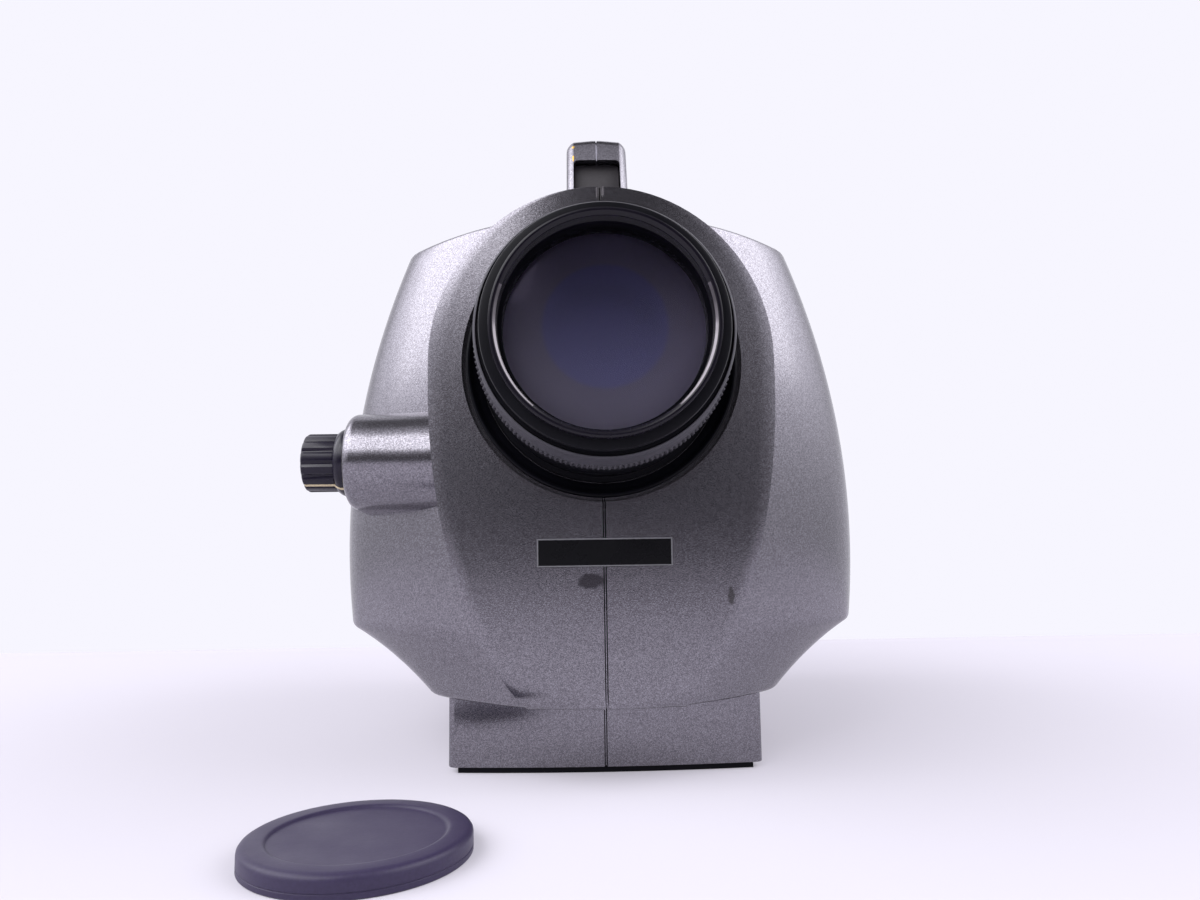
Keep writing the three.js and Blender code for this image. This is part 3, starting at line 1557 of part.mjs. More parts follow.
// Finder tube on two saddles
const finderStartY = turretY + splitterHalf + finderStartGap;
const saddleYs = [finderStartY + finderSaddleInset, finderEndY - finderSaddleInset];
const finderParts = [solid(onLensAxis(rod(finderRadius, finderStartY, finderEndY, coarse)))];
saddleYs.forEach((y) => {
  finderParts.push(solid(block(
    -finderSaddleHalfWidth,
    finderSaddleHalfWidth,
    y - finderSaddle / 2,
    y + finderSaddle / 2,
    bracketFloorZ,
    lensAxisZ - finderBore,
  )));
});
const finderHole = solid(onLensAxis(rod(finderBore, finderStartY - overrun, finderEndY + overrun, coarse)));
addPiece(spectroradiometer, 'finder_tube', cut(join(...finderParts), finderHole), blackAnodised);

// Power board on spacers over the base plate
const powerBoardZ = basePlateTopZ + seat + powerBoardLift;
const powerParts = [solid(block(
  -powerBoardHalfWidth,
  powerBoardHalfWidth,
  powerBoardFrontY,
  powerBoardRearY,
  powerBoardZ,
  powerBoardZ + boardThickness,
))];
[-1, 1].forEach((side) => {
  [powerBoardFrontY + postRadius, powerBoardRearY - postRadius].forEach((y) => {
    const spacer = onZ(rod(panelPostRadius, basePlateTopZ + seat, powerBoardZ + boardThickness / 2, 8));
    powerParts.push(solid(spacer.translate(side * (powerBoardHalfWidth - postRadius), y, 0)));
  });
});
const partZ = powerBoardZ + boardThickness / 2;
powerParts.push(solid(block(
  -powerBoardHalfWidth + postRadius * 2,
  -powerBoardHalfWidth + postRadius * 2 + transformerSize,
  powerBoardRearY - postRadius * 3 - transformerSize,
  powerBoardRearY - postRadius * 3,
  partZ,
  partZ + transformerHeight,
)));
const capacitorX = powerBoardHalfWidth / 2;
[1, 2, 3].forEach((row) => {
  const can = onZ(rod(capacitorRadius, partZ, partZ + capacitorHeight, coarse));
  const y = powerBoardRearY - row * capacitorRadius * 2.6;
  powerParts.push(solid(can.translate(capacitorX, y, 0)));
});
addPiece(spectroradiometer, 'power_board', join(...powerParts), boardGreen);

// Rear panel with its openings and the posts for the main board
function rectangle(u, v, halfWidth, halfHeight) {
  return outline([
    [u - halfWidth, v - halfHeight],
    [u + halfWidth, v - halfHeight],
    [u + halfWidth, v + halfHeight],
    [u - halfWidth, v + halfHeight],
  ]);
}
function throughPanel(shape) {
  return solid(prismY(shape, panelInnerY - overrun, panelThickness + 2 * overrun));
}
function roundThroughPanel(radius, x, z, segments) {
  const hole = rod(radius, panelInnerY - overrun, panelOuterY + overrun, segments);
  return solid(hole.translate(x, 0, z));
}
const keyXs = [];
for (let i = 0; i < keyCount; i += 1) {
  keyXs.push((i - (keyCount - 1) / 2) * keyPitch);
}
const leverTurn = THREE.MathUtils.degToRad(leverAngle);
const leverX = leverDistance * Math.cos(leverTurn);
const leverZ = lensAxisZ + leverDistance * Math.sin(leverTurn);
const mainBoardY = panelInnerY - mainBoardGap;
const panelPosts = [];
const panelPostX = panelHalfWidth - ledgeWidth - panelPostInset;
[-panelPostX, panelPostX].forEach((x) => {
  [mainBoardBottomZ + panelPostRise, mainBoardTopZ - panelPostRise].forEach((z) => {
    const post = rod(panelPostRadius, mainBoardY + seat, panelInnerY + panelThickness / 2, 10);
    panelPosts.push(solid(post.translate(x, 0, z)));
  });
});
const windowRecess = prismY(
  rectangle(0, displayZ, windowHalfWidth + seat, windowHalfHeight + seat),
  panelOuterY - windowThickness - seat,
  windowThickness + seat + overrun,
);
const rearPanel = cut(
  join(solid(prismY(panelShape(0), panelInnerY, panelThickness)), ...panelPosts),
  throughPanel(rectangle(0, displayZ, windowHalfWidth - windowLip, windowHalfHeight - windowLip)),
  solid(windowRecess),
  ...keyXs.map((x) => throughPanel(rectangle(x, keyZ, keyHalfWidth + running, keyHalfHeight + running))),
  throughPanel(rectangle(rockerX, lowRowZ, rockerHalfWidth + running, rockerHalfLength + rockerEndGap)),
  throughPanel(rectangle(dataX, lowRowZ, dataHalfWidth + running, dataHalfHeight + running)),
  roundThroughPanel(inletRadius + running, inletX, lowRowZ, coarse),
  roundThroughPanel(eyeHole, 0, lensAxisZ, medium),
  roundThroughPanel(leverShaft + running, leverX, leverZ, coarse),
);
addPiece(spectroradiometer, 'rear_panel', rearPanel, panelPlastic);

// Main board on the panel's posts
const mainBoardBack = mainBoardY - boardThickness;
const mainParts = [solid(block(
  -mainBoardHalfWidth,
  mainBoardHalfWidth,
  mainBoardBack,
  mainBoardY,
  mainBoardBottomZ,
  mainBoardTopZ,
))];
const mainMiddleZ = (mainBoardBottomZ + mainBoardTopZ) / 2;
[-1, 0, 1].forEach((column) => {
  const x = column * chipSize * 2;
  mainParts.push(solid(block(
    x - chipSize / 2,
    x + chipSize / 2,
    mainBoardBack - chipHeight,
    mainBoardY - boardThickness / 2,
    mainMiddleZ - chipSize,
    mainMiddleZ + chipSize,
  )));
});
addPiece(spectroradiometer, 'main_board', join(...mainParts), boardGreen);

// Display window in its recess, and the display board with the key switches
const windowShape = rectangle(0, displayZ, windowHalfWidth, windowHalfHeight);
addPiece(spectroradiometer, 'display_window', prismY(windowShape, panelOuterY - windowThickness, windowThickness), clearGlass);
const displayFaceY = panelInnerY - seat;
const displayBoardY = displayFaceY - displayDepth;
const keyFlangeInnerY = panelInnerY - running - keyFlange;
const switchTopY = keyFlangeInnerY - keyTravel - running;
const displayTopZ = displayZ + windowHalfHeight + displayMargin;
const displayBottomZ = keyZ - keyHalfHeight - displayMargin;
const keyReach = keyXs[keyCount - 1] + 2 * keySwitchHalf;
const displayParts = [
  solid(block(
    -Math.max(windowHalfWidth, keyReach),
    Math.max(windowHalfWidth, keyReach),
    displayBoardY - boardThickness,
    displayBoardY,
    displayBottomZ,
    displayTopZ,
  )),
  solid(block(
    -windowHalfWidth,
    windowHalfWidth,
    displayBoardY - boardThickness / 2,
    displayFaceY,
    displayZ - windowHalfHeight,
    displayZ + windowHalfHeight,
  )),
  ...keyXs.map((x) => solid(block(
    x - keySwitchHalf,
    x + keySwitchHalf,
    displayBoardY - boardThickness / 2,
    switchTopY,
    keyZ - keySwitchHalf,
    keyZ + keySwitchHalf,
  ))),
];
addPiece(spectroradiometer, 'display_board', join(...displayParts), boardGreen);

// Keys: caps with a flange behind the panel
keyXs.forEach((x, i) => {
  const flangeHalfWidth = keyHalfWidth + keyFlangeRim;
  const flangeHalfHeight = keyHalfHeight + keyFlangeRim;
  const capLength = panelOuterY + keyProud - keyFlangeInnerY;
  const key = join(
    solid(prismY(rectangle(0, 0, keyHalfWidth, keyHalfHeight), 0, capLength)),
    solid(prismY(rectangle(0, 0, flangeHalfWidth, flangeHalfHeight), 0, keyFlange)),
  );
  addPiece(spectroradiometer, `key_${i + 1}`, key, keyPlastic, x, keyFlangeInnerY, keyZ);
});

// Power rocker: a bent face that tips about an axis along X
const rockerFaceY = rockerProud;
const rockerBend = rockerHalfLength * Math.tan(THREE.MathUtils.degToRad(rockerTilt));
const rockerSide = outline([
  [rockerFaceY - rockerBend, 0],
  [rockerFaceY, rockerHalfLength],
  [rockerFaceY - rockerDepth, rockerHalfLength * 0.8],
  [rockerFaceY - rockerDepth, -rockerHalfLength * 0.8],
  [rockerFaceY, -rockerHalfLength],
]);
const rockerBody = prismX(rockerSide, -rockerHalfWidth, 2 * rockerHalfWidth);
const rocker = addPiece(spectroradiometer, 'power_rocker', rockerBody, blackPlastic, rockerX, panelOuterY, lowRowZ);
rocker.rotation.x = THREE.MathUtils.degToRad(rockerTilt);

// DC inlet: a flanged round socket with its centre pin
const inletFaceY = panelOuterY + seat + inletFlange;
const inletFlangeY = panelOuterY + seat;
const inletBackY = inletFaceY - inletDepth;
const inlet = turned(
  [
    [0, inletBackY],
    [inletRadius, inletBackY],
    [inletRadius, inletFlangeY],
    [inletFlangeRadius, inletFlangeY],
    [inletFlangeRadius, inletFaceY],
    [inletBore, inletFaceY],
    [inletBore, inletFaceY - inletBoreDepth],
    [inletPinRadius, inletFaceY - inletBoreDepth],
    [inletPinRadius, inletFaceY - inletBoreDepth + inletPinLength],
    [0, inletFaceY - inletBoreDepth + inletPinLength],
  ],
  coarse,
);
addPiece(spectroradiometer, 'dc_inlet', inlet, blackPlastic, inletX, 0, lowRowZ);

// Data socket: flange outside the panel, a D-shaped metal shell and the body behind
const slant = dataShellHalfWidth * dataShellSlantShare;
const dataShell = outline([
  [-dataShellHalfWidth + slant, -dataShellHalfHeight],
  [dataShellHalfWidth - slant, -dataShellHalfHeight],
  [dataShellHalfWidth + slant, dataShellHalfHeight],
  [-dataShellHalfWidth - slant, dataShellHalfHeight],
]);
const dataFlangeY = panelOuterY + seat;
const dataSocket = join(
  solid(prismY(rectangle(0, 0, dataHalfWidth, dataHalfHeight), dataFlangeY - dataDepth, dataDepth)),
  solid(prismY(rectangle(0, 0, dataFlangeHalfWidth, dataFlangeHalfHeight), dataFlangeY, dataFlange)),
  solid(prismY(dataShell, dataFlangeY, dataFlange + dataShellProud)),
);
addPiece(spectroradiometer, 'data_socket', dataSocket, steel, dataX, 0, lowRowZ);

// Eyepiece tube, flanged behind the panel
const eyeFlangeBackY = panelInnerY - seat;
const eyeFlangeFrontY = eyeFlangeBackY - eyeFlange;
const eyeInnerY = eyeFlangeFrontY - eyeTubeInner + eyeFlange;
const neckEndY = panelOuterY + seat;
const eyeEndY = panelOuterY + eyeTubeOuter;
const eyeTube = turned(
  [
    [eyeTubeBore, eyeInnerY],
    [eyeTubeRadius, eyeInnerY],
    [eyeTubeRadius, eyeFlangeFrontY],
    [eyeFlangeRadius, eyeFlangeFrontY],
    [eyeFlangeRadius, eyeFlangeBackY],
    [eyeNeckRadius, eyeFlangeBackY],
    [eyeNeckRadius, neckEndY],
    [eyeTubeRadius, neckEndY],
    [eyeTubeRadius, eyeEndY],
    [eyeTubeBore, eyeEndY],
    [eyeTubeBore, eyeInnerY],
  ],
  medium,
);
addPiece(spectroradiometer, 'eyepiece_tube', eyeTube, satinBlack, 0, 0, lensAxisZ);
const eyeGlassY = eyeEndY - eyeGlassInset;
const eyeGlassRadius = eyeTubeBore - seat;
const eyeGlass = turned(
  [
    ...lensArc(eyeGlassRadius, eyeGlassY - eyeGlassEdge, -eyeGlassSag, 3).reverse(),
    ...lensArc(eyeGlassRadius, eyeGlassY, eyeGlassSag, 3),
  ],
  coarse,
);
addPiece(spectroradiometer, 'eyepiece_lens', eyeGlass, clearGlass, 0, 0, lensAxisZ);

// Dioptre ring on the tube, then the rubber eyecup
const dioptreY = neckEndY + running;
const dioptre = prismY(
  flutedShape(dioptreRadius, dioptreFluteDepth, dioptreFlutes, eyeTubeRadius + running),
  dioptreY,
  dioptreLength,
  { curveSegments: coarse },
);
addPiece(spectroradiometer, 'dioptre_ring', dioptre, satinBlack, 0, 0, lensAxisZ);
const cupY = dioptreY + dioptreLength + running;
const cupEndY = cupY + eyecupLength;
const eyecup = turned(
  [
    [eyeTubeRadius + seat, cupY],
    [eyeTubeRadius + seat + eyecupWall, cupY],
    [eyecupRadius, cupEndY],
    [eyecupRadius - eyecupWall, cupEndY],
    [eyeTubeRadius + seat, cupY + eyecupCollar],
    [eyeTubeRadius + seat, cupY],
  ],
  medium,
);
addPiece(spectroradiometer, 'eyecup', eyecup, rubber, 0, 0, lensAxisZ);

// Eyepiece shutter: lever outside, shaft through the panel, blade before the eyepiece tube
const shutter = addGroup(leverX, 0, leverZ);
const leverBackY = panelOuterY + running;
const leverBar = new THREE.Shape();
leverBar.absarc(0, 0, leverHub, Math.PI / 4, 1.75 * Math.PI, false);
leverBar.lineTo(leverLength, -leverWidth / 2);
leverBar.absarc(leverLength, 0, leverWidth / 2, -Math.PI / 2, Math.PI / 2, false);
const bladeBackY = eyeInnerY - leverBladeGap;
const bladeFrontY = bladeBackY - leverBladeThickness;
const restTurn = leverTurn + Math.PI - THREE.MathUtils.degToRad(leverSwing);
const bladeU = leverDistance * Math.cos(restTurn);
const bladeV = leverDistance * Math.sin(restTurn);
const armU = (leverArmWidth / 2) * Math.sin(restTurn);
const armV = (leverArmWidth / 2) * Math.cos(restTurn);
const armShape = outline([
  [armU, -armV],
  [bladeU + armU, bladeV - armV],
  [bladeU - armU, bladeV + armV],
  [-armU, armV],
]);
const eyeShutter = join(
  solid(prismY(leverBar, leverBackY, leverThickness)),
  solid(rod(leverShaft, bladeFrontY, leverBackY + leverThickness / 2, coarse)),
  solid(rod(leverHub, bladeFrontY, bladeBackY, coarse)),
  solid(prismY(armShape, bladeFrontY, leverBladeThickness)),
  solid(rod(leverBladeRadius, bladeFrontY, bladeBackY, coarse).translate(bladeU, 0, bladeV)),
);
addPiece(shutter, 'eyepiece_shutter', eyeShutter, satinBlack);

// Lens cap: a shallow push-in cap, hollow below, its top face dished inside a rim
const capDisc = capRadius * capDiscShare;
const cap = turned(
  [
    [0, capHeight - capDiscDrop],
    [capDisc, capHeight - capDiscDrop],
    [capDisc, capHeight],
    [capRadius - capEdge, capHeight],
    [capRadius, capHeight - capEdge],
    [capRadius, 0],
    [capRadius - capSkirt, 0],
    [capRadius - capSkirt, capHeight - capTopWall - capDiscDrop],
    [0, capHeight - capTopWall - capDiscDrop],
  ],
  medium,
);
addPiece(spectroradiometer, 'lens_cap', onZ(cap), capPlastic, capX, capY, 0);

// The origin is the middle of the base plate's underside
spectroradiometer.position.set(0, -(plinthFrontY + plinthRearY) / 2, 0);
const instrument = new THREE.Group();
instrument.add(spectroradiometer);

export default instrument;
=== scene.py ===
# A bench spectroradiometer with its lens cap taken off and lying before it.
# The script follows the instrument as it is put together, one section for each piece.
import math

import bpy
from mathutils import Matrix, Vector


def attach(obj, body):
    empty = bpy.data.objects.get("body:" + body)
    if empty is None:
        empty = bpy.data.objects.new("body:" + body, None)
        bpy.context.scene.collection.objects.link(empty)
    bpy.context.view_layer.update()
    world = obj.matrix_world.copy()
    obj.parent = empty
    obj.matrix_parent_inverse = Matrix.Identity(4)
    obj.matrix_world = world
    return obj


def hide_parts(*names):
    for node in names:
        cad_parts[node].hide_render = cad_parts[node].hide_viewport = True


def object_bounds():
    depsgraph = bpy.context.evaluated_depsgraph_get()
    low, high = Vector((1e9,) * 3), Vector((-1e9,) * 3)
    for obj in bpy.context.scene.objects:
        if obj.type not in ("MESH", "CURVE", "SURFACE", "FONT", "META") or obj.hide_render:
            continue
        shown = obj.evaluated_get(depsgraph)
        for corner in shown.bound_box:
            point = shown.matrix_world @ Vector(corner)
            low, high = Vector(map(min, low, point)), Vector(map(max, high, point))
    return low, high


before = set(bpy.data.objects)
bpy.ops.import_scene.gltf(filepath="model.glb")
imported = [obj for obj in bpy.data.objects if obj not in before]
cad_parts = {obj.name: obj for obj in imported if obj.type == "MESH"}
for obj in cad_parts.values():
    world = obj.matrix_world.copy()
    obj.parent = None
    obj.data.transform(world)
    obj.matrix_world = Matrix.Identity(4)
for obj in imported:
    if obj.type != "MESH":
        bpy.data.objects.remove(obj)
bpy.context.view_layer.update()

# The camera stands where the photograph was taken: in front of the lens, a little below its
# axis, tipped up by about six degrees, with the short lens of a compact camera.
bpy.ops.object.camera_add(
    location=(-0.00755, -0.45962, 0.0891),
    rotation=(math.radians(96.29), math.radians(0.825), math.radians(-1.039)),
)
camera = bpy.context.object
camera.name = "camera"
camera.data.sensor_width = 36
camera.data.lens = 25.67
camera.data.clip_start = 0.01
bpy.context.scene.camera = camera

# The stage: a pale table that ends a metre and a half in front of the instrument, in a room that
# is white behind it. Light comes in softly from both sides, from the upper left in front and from
# above; the room straight behind the camera is dim.
table_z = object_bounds()[0][2]
table_rear_y = 0.33
table_front_y = -1.58
table_wide = 5
under_feet = 0.0001
white = 1


def set_inputs(owner, node, inputs):
    """Links an input to another node's output, or sets its value."""
    for key, value in inputs.items():
        if isinstance(value, bpy.types.NodeSocket):
            owner.node_tree.links.new(value, node.inputs[key])
        else:
            node.inputs[key].default_value = value
    return node


def add_node(owner, kind, inputs={}, **settings):
    node = owner.node_tree.nodes.new("ShaderNode" + kind)
    for key, value in settings.items():
        setattr(node, key, value)
    return set_inputs(owner, node, inputs)


def calculate(owner, kind, operation, *values):
    return add_node(owner, kind, dict(enumerate(values)), operation=operation).outputs


def ramp(owner, value, start, end, low, high, kind="LINEAR"):
    return add_node(owner, "MapRange", {
        "Value": value, "From Min": start, "From Max": end, "To Min": low, "To Max": high,
    }, interpolation_type=kind).outputs["Result"]


table_deep = table_rear_y - table_front_y
bpy.ops.mesh.primitive_plane_add(
    size=1, location=(0, table_rear_y - table_deep / 2, table_z - under_feet)
)
table = bpy.context.object
table.name = "table"
table.scale = (table_wide, table_deep, 1)
pale_table = bpy.data.materials.new("pale_table")
pale_table.use_nodes = True
pale_table.node_tree.nodes.clear()
lit = add_node(pale_table, "BsdfDiffuse", {"Color": (0.62, 0.60, 0.66, 1)})
glow = add_node(pale_table, "Emission", {"Color": (0.95, 0.91, 1, 1), "Strength": white})
both = add_node(pale_table, "MixShader", {0: 0.25, 1: lit.outputs[0], 2: glow.outputs[0]})
add_node(pale_table, "OutputMaterial", {"Surface": both.outputs[0]})
table.data.materials.append(pale_table)

world = bpy.data.worlds.new("room")
bpy.context.scene.world = world
world.use_nodes = True
outlook = add_node(world, "TexCoord").outputs["Generated"]
split = add_node(world, "SeparateXYZ", {"Vector": outlook})
to_x, to_y, to_z = (split.outputs[axis] for axis in "XYZ")


def room_math(operation, *values):
    return calculate(world, "Math", operation, *values)[0]


def room_ramp(*values):
    return ramp(world, *values, "SMOOTHSTEP")


sideways = room_math("ABSOLUTE", to_x)
upper_sides = room_math(
    "MULTIPLY", room_ramp(sideways, 0.15, 0.6, 0, 0.7), room_ramp(to_z, -0.02, 0.4, 0, 1)
)
window_side = room_math("MULTIPLY_ADD", to_z, 0.25, sideways)
windows = room_math(
    "MULTIPLY", room_ramp(window_side, 0.54, 0.88, 0, 1.75), room_ramp(to_z, 0, 0.6, 0, 1)
)
left_window = (-0.33, -0.70, 0.63)
towards_left = calculate(world, "VectorMath", "DOT_PRODUCT", outlook, left_window)["Value"]
front_left = room_math(
    "MULTIPLY", room_ramp(towards_left, 0.88, 0.985, 0, 2), room_ramp(sideways, 0.10, 0.26, 0, 1)
)
overhead = room_math(
    "MULTIPLY", room_ramp(to_z, 0.80, 0.92, 0, 0.85), room_ramp(to_y, -0.05, -0.3, 0, 1)
)
low_sides = room_ramp(sideways, 0.5, 1, 0.06, 0.75)
room_light = room_math("ADD", upper_sides, windows)
for part in (front_left, low_sides, overhead):
    room_light = room_math("ADD", room_light, part)
room_light = room_math("MULTIPLY", room_light, room_ramp(to_x, -0.5, 0.5, 1, 0.9))
room_light = room_math(
    "ADD",
    room_math("MULTIPLY", room_light, room_ramp(to_y, 0.3, 0.5, 1, 0)),
    room_ramp(to_y, 0.3, 0.5, 0, white),
)
seen_straight = add_node(world, "LightPath").outputs["Is Camera Ray"]
shown = add_node(world, "Mix", {"Factor": seen_straight, "A": room_light, "B": white})
set_inputs(world, world.node_tree.nodes["Background"], {
    "Color": (0.93, 0.92, 1, 1), "Strength": shown.outputs["Result"],
})

for name, spot, aim, width, height, watts in (
    ("lamp_front_left", (-0.56, -0.98, 0.94), (0, -0.1, 0.15), 0.8, 0.8, 3.8),
    ("lamp_left", (-1.23, -0.36, 1.1), (0, 0, 0.15), 1.5, 1.2, 10),
    ("lamp_right", (1.23, -0.36, 1.1), (0, 0, 0.15), 1.5, 1.2, 9),
):
    turn = (Vector(aim) - Vector(spot)).to_track_quat("-Z", "Y").to_euler()
    bpy.ops.object.light_add(type="AREA", location=spot, rotation=turn)
    lamp = bpy.context.object
    lamp.name = name
    lamp.data.shape = "RECTANGLE"
    lamp.data.size = width
    lamp.data.size_y = height
    lamp.data.energy = watts
bpy.context.scene.view_settings.view_transform = "Standard"

# The housing is moulded in two halves that meet on the middle plane. Its body bulges at the
# sides, draws in hollow below, and sweeps back in two wings beside the lens.
mm = 0.001
origin_y = 112.5
front_y = -28
rear_y = 250
bottom_z = 29
corner_z = 55.5
shoulder_z = 216.7
bulge_half = 113
bulge_z = 94
bulge_radius = 265
foot_half = 70.7
hollow = 2
wing_sweep = 0.57
wing_power = 2.1
wing_end = 0.94
side_end_y = 150
rear_share = 0.88
rear_round = 14
wing_round = 7
wall_thickness = 3
seam = 0.5
tongue_half = 0.2
groove = 1.2
notch = 1.5


def place(x, y, z):
    return Vector((x * mm, (y - origin_y) * mm, z * mm))


def only(piece):
    bpy.ops.object.select_all(action="DESELECT")
    piece.select_set(True)
    bpy.context.view_layer.objects.active = piece


def mode(name):
    bpy.ops.object.mode_set(mode=name)


def tidy_mesh(piece):
    only(piece)
    mode("EDIT")
    bpy.ops.mesh.select_all(action="SELECT")
    bpy.ops.mesh.remove_doubles(threshold=0.000002)
    bpy.ops.mesh.dissolve_degenerate(threshold=0.000002)
    bpy.ops.mesh.select_all(action="DESELECT")
    bpy.ops.mesh.select_mode(type="EDGE")
    bpy.ops.mesh.select_non_manifold(
        extend=False, use_wire=False, use_boundary=True, use_multi_face=False,
        use_non_contiguous=False, use_verts=False,
    )
    bpy.ops.mesh.fill_holes(sides=0)
    bpy.ops.mesh.select_all(action="SELECT")
    bpy.ops.mesh.normals_make_consistent(inside=False)
    bpy.ops.mesh.select_all(action="DESELECT")
    mode("OBJECT")


def lofted(name, rings):
    """A skin over rings of points that all have the same number of points."""
    count = len(rings[0])
    bpy.ops.mesh.primitive_grid_add(x_subdivisions=count, y_subdivisions=len(rings) - 1)
    piece = bpy.context.object
    piece.name = name
    points = [point for ring in rings for point in ring + ring[:1]]
    for vertex, point in zip(piece.data.vertices, points):
        vertex.co = point
    tidy_mesh(piece)
    return piece


def rounded(piece, width, steps=3, angle=30):
    only(piece)
    bevel = piece.modifiers.new("round", "BEVEL")
    bevel.width = width * mm
    bevel.segments = steps
    bevel.limit_method = "ANGLE"
    bevel.angle_limit = math.radians(angle)
    bpy.ops.object.modifier_apply(modifier="round")


def combine(piece, other, operation):
    """Joins, cuts or keeps what is common, and uses the other piece up."""
    only(piece)
    step = piece.modifiers.new("combine", "BOOLEAN")
    step.operation = operation
    step.solver = "MANIFOLD"
    step.object = other
    bpy.ops.object.modifier_apply(modifier="combine")
    bpy.data.objects.remove(other)


def join(piece, other):
    combine(piece, other, "UNION")


def cut(piece, other):
    combine(piece, other, "DIFFERENCE")


def bend(middle, radius, start, end, steps):
    """Points along an arc between two angles in degrees."""
    angles = [math.radians(start + (end - start) * step / steps) for step in range(steps + 1)]
    return [
        (middle[0] + radius * math.cos(angle), middle[1] + radius * math.sin(angle))
        for angle in angles
    ]


def bulge_at(z):
    return bulge_half - bulge_radius + math.sqrt(bulge_radius ** 2 - (z - bulge_z) ** 2)


def body_levels(inset, low_steps, high_steps):
    low = (foot_half - inset, bottom_z + inset)
    edge_z = corner_z + inset * 0.4
    edge = (bulge_at(edge_z) - inset, edge_z)
    along = Vector((edge[0] - low[0], edge[1] - low[1]))
    inward = Vector((-along.y, along.x)).normalized()
    levels = []
    for step in range(low_steps):
        t = step / low_steps
        bow = hollow * 4 * t * (1 - t)
        levels.append(tuple(Vector(low) + along * t + inward * bow))
    for step in range(high_steps + 1):
        z = edge_z + (shoulder_z - inset - edge_z) * step / high_steps
        levels.append((bulge_at(z) - inset, z))
    return levels


def body_ring(half, z, inset, steps):
    sweep = wing_sweep * half
    wing = lambda share: (half * share, front_y + inset + sweep * share ** wing_power)
    right = [wing(step / steps * wing_end) for step in range(steps + 1)]
    before = wing(wing_end)
    corner = wing(1)
    after = (half, corner[1] + wing_round)
    quarters = (0.25, 0.5, 0.75, 1)
    for t in quarters:
        right.append(tuple(
            (1 - t) ** 2 * a + 2 * t * (1 - t) * b + t * t * c
            for a, b, c in zip(before, corner, after)
        ))
    right += [(half, after[1] + (side_end_y - after[1]) * t) for t in quarters]
    rear_half = half * rear_share
    radius = rear_round - inset
    end_y = rear_y - inset
    taper_y = end_y - radius - side_end_y
    for t in quarters[:3]:
        right.append((half + (rear_half - half) * t, side_end_y + taper_y * t))
    right += bend((rear_half - radius, end_y - radius), radius, 0, 90, 6)
    left = [(-x, y) for x, y in reversed(right[1:])]
    return [place(x, y, z) for x, y in right + left]


def body_form(name, inset, low_steps, high_steps, steps):
    levels = body_levels(inset, low_steps, high_steps)
    return lofted(name, [body_ring(half, z, inset, steps) for half, z in levels])


body = body_form("body", 0, 8, 32, 20)
rounded(body, 1.6, 3, 24)

# The nose is the raised cowl round the lens. It is an upright oval, crowned in front, whose
# round top runs back over the body as a spine.
nose_half = 67
nose_top_z = 227.3
nose_taper_z = 152
nose_taper = 136.4
nose_crown = 6
nose_under = 4
nose_under_z = 9
nose_round = 1.6


def nose_outline(inset, lower_steps, upper_steps):
    right = []
    for step in range(lower_steps + 1):
        angle = math.pi / 2 * step / lower_steps
        drop = math.cos(angle) * (nose_taper_z - bottom_z - inset) / nose_taper
        z = nose_taper_z - nose_taper * drop
        right.append((nose_half * math.sqrt(1 - drop * drop) - inset, z))
    right += bend((0, nose_top_z - nose_half), nose_half - inset, 0, 90, upper_steps)
    left = [(-x, z) for x, z in reversed(right[:-1])]
    return right + left


def nose_form(name, inset, lower_steps, upper_steps, crown_steps):
    outline = nose_outline(inset, lower_steps, upper_steps)
    rings = []
    for step in range(crown_steps + 1):
        share = step / crown_steps
        ring = []
        for x, z in outline:
            lift = share * abs(x) / (nose_half - inset)
            under = max(0, 1 - (z - bottom_z) / nose_under_z)
            back = nose_crown * lift ** 2 + nose_under * (1 - math.sqrt(1 - under * under))
            ring.append(place(x * share, front_y + inset + back, z))
        rings.append(ring)
    for y in (6, rear_y - inset):
        rings.append([place(x, y, z) for x, z in outline])
    return lofted(name, rings)


nose = nose_form("nose", 0, 28, 26, 10)
rounded(nose, nose_round, 3, 40)

# The plinth under the body, one moulding with it, with a slightly crowned front.
plinth_half = 62.5
plinth_rear = 225
plinth_crown = 3
plinth_z = 2.2
plinth_round = 3


def plinth_outline(inset):
    half = plinth_half - inset
    rear = plinth_rear - inset
    corner = max(plinth_round - inset, 0.2)
    corner_y = inset + plinth_crown + corner
    points = [(half, rear), (-half, rear)]
    points += bend((corner - half, corner_y), corner, 180, 270, 4)
    for step in range(1, 12):
        t = step / 12
        x = corner - half + 2 * (half - corner) * t
        points.append((x, inset + plinth_crown * (1 - 4 * t * (1 - t))))
    return points + bend((half - corner, corner_y), corner, -90, 0, 4)


def plinth_form(name, inset, low, high):
    return lofted(name, [[place(x, y, z) for x, y in plinth_outline(inset)] for z in (low, high)])


plinth = plinth_form("plinth", 0, plinth_z, bottom_z + wall_thickness)
rounded(plinth, 0.5, 2, 60)

# The boss on the left wing carries the selector knob. It is round in front, with a softly
# rounded end, and widens towards the nose and back into the wing.
knob_y = 2
knob_z = 123.6
boss_x = -101.8
boss_radius = 19.6
boss_flare = 3.5
boss_widening = 1.9
boss_root_y = 48
boss_round = 4
boss_root_x = -58


def boss_ring(x, radius):
    points = bend((knob_y, knob_z), radius, -90, -270, 32)
    spread = radius + boss_flare
    points += [(boss_root_y, knob_z + spread), (boss_root_y, knob_z - spread)]
    return [place(x, y, z) for y, z in points]


boss_rings = []
for step in range(9):
    angle = math.pi / 2 * step / 8
    inset = boss_round * (1 - math.sin(angle))
    boss_rings.append(boss_ring(boss_x + boss_round * (1 - math.cos(angle)), boss_radius - inset))
for step in range(1, 7):
    x = boss_x + boss_round + (boss_root_x - boss_x - boss_round) * step / 6
    boss_rings.append(boss_ring(x, boss_radius + boss_widening * (step / 6) ** 2))
boss = lofted("boss", boss_rings)

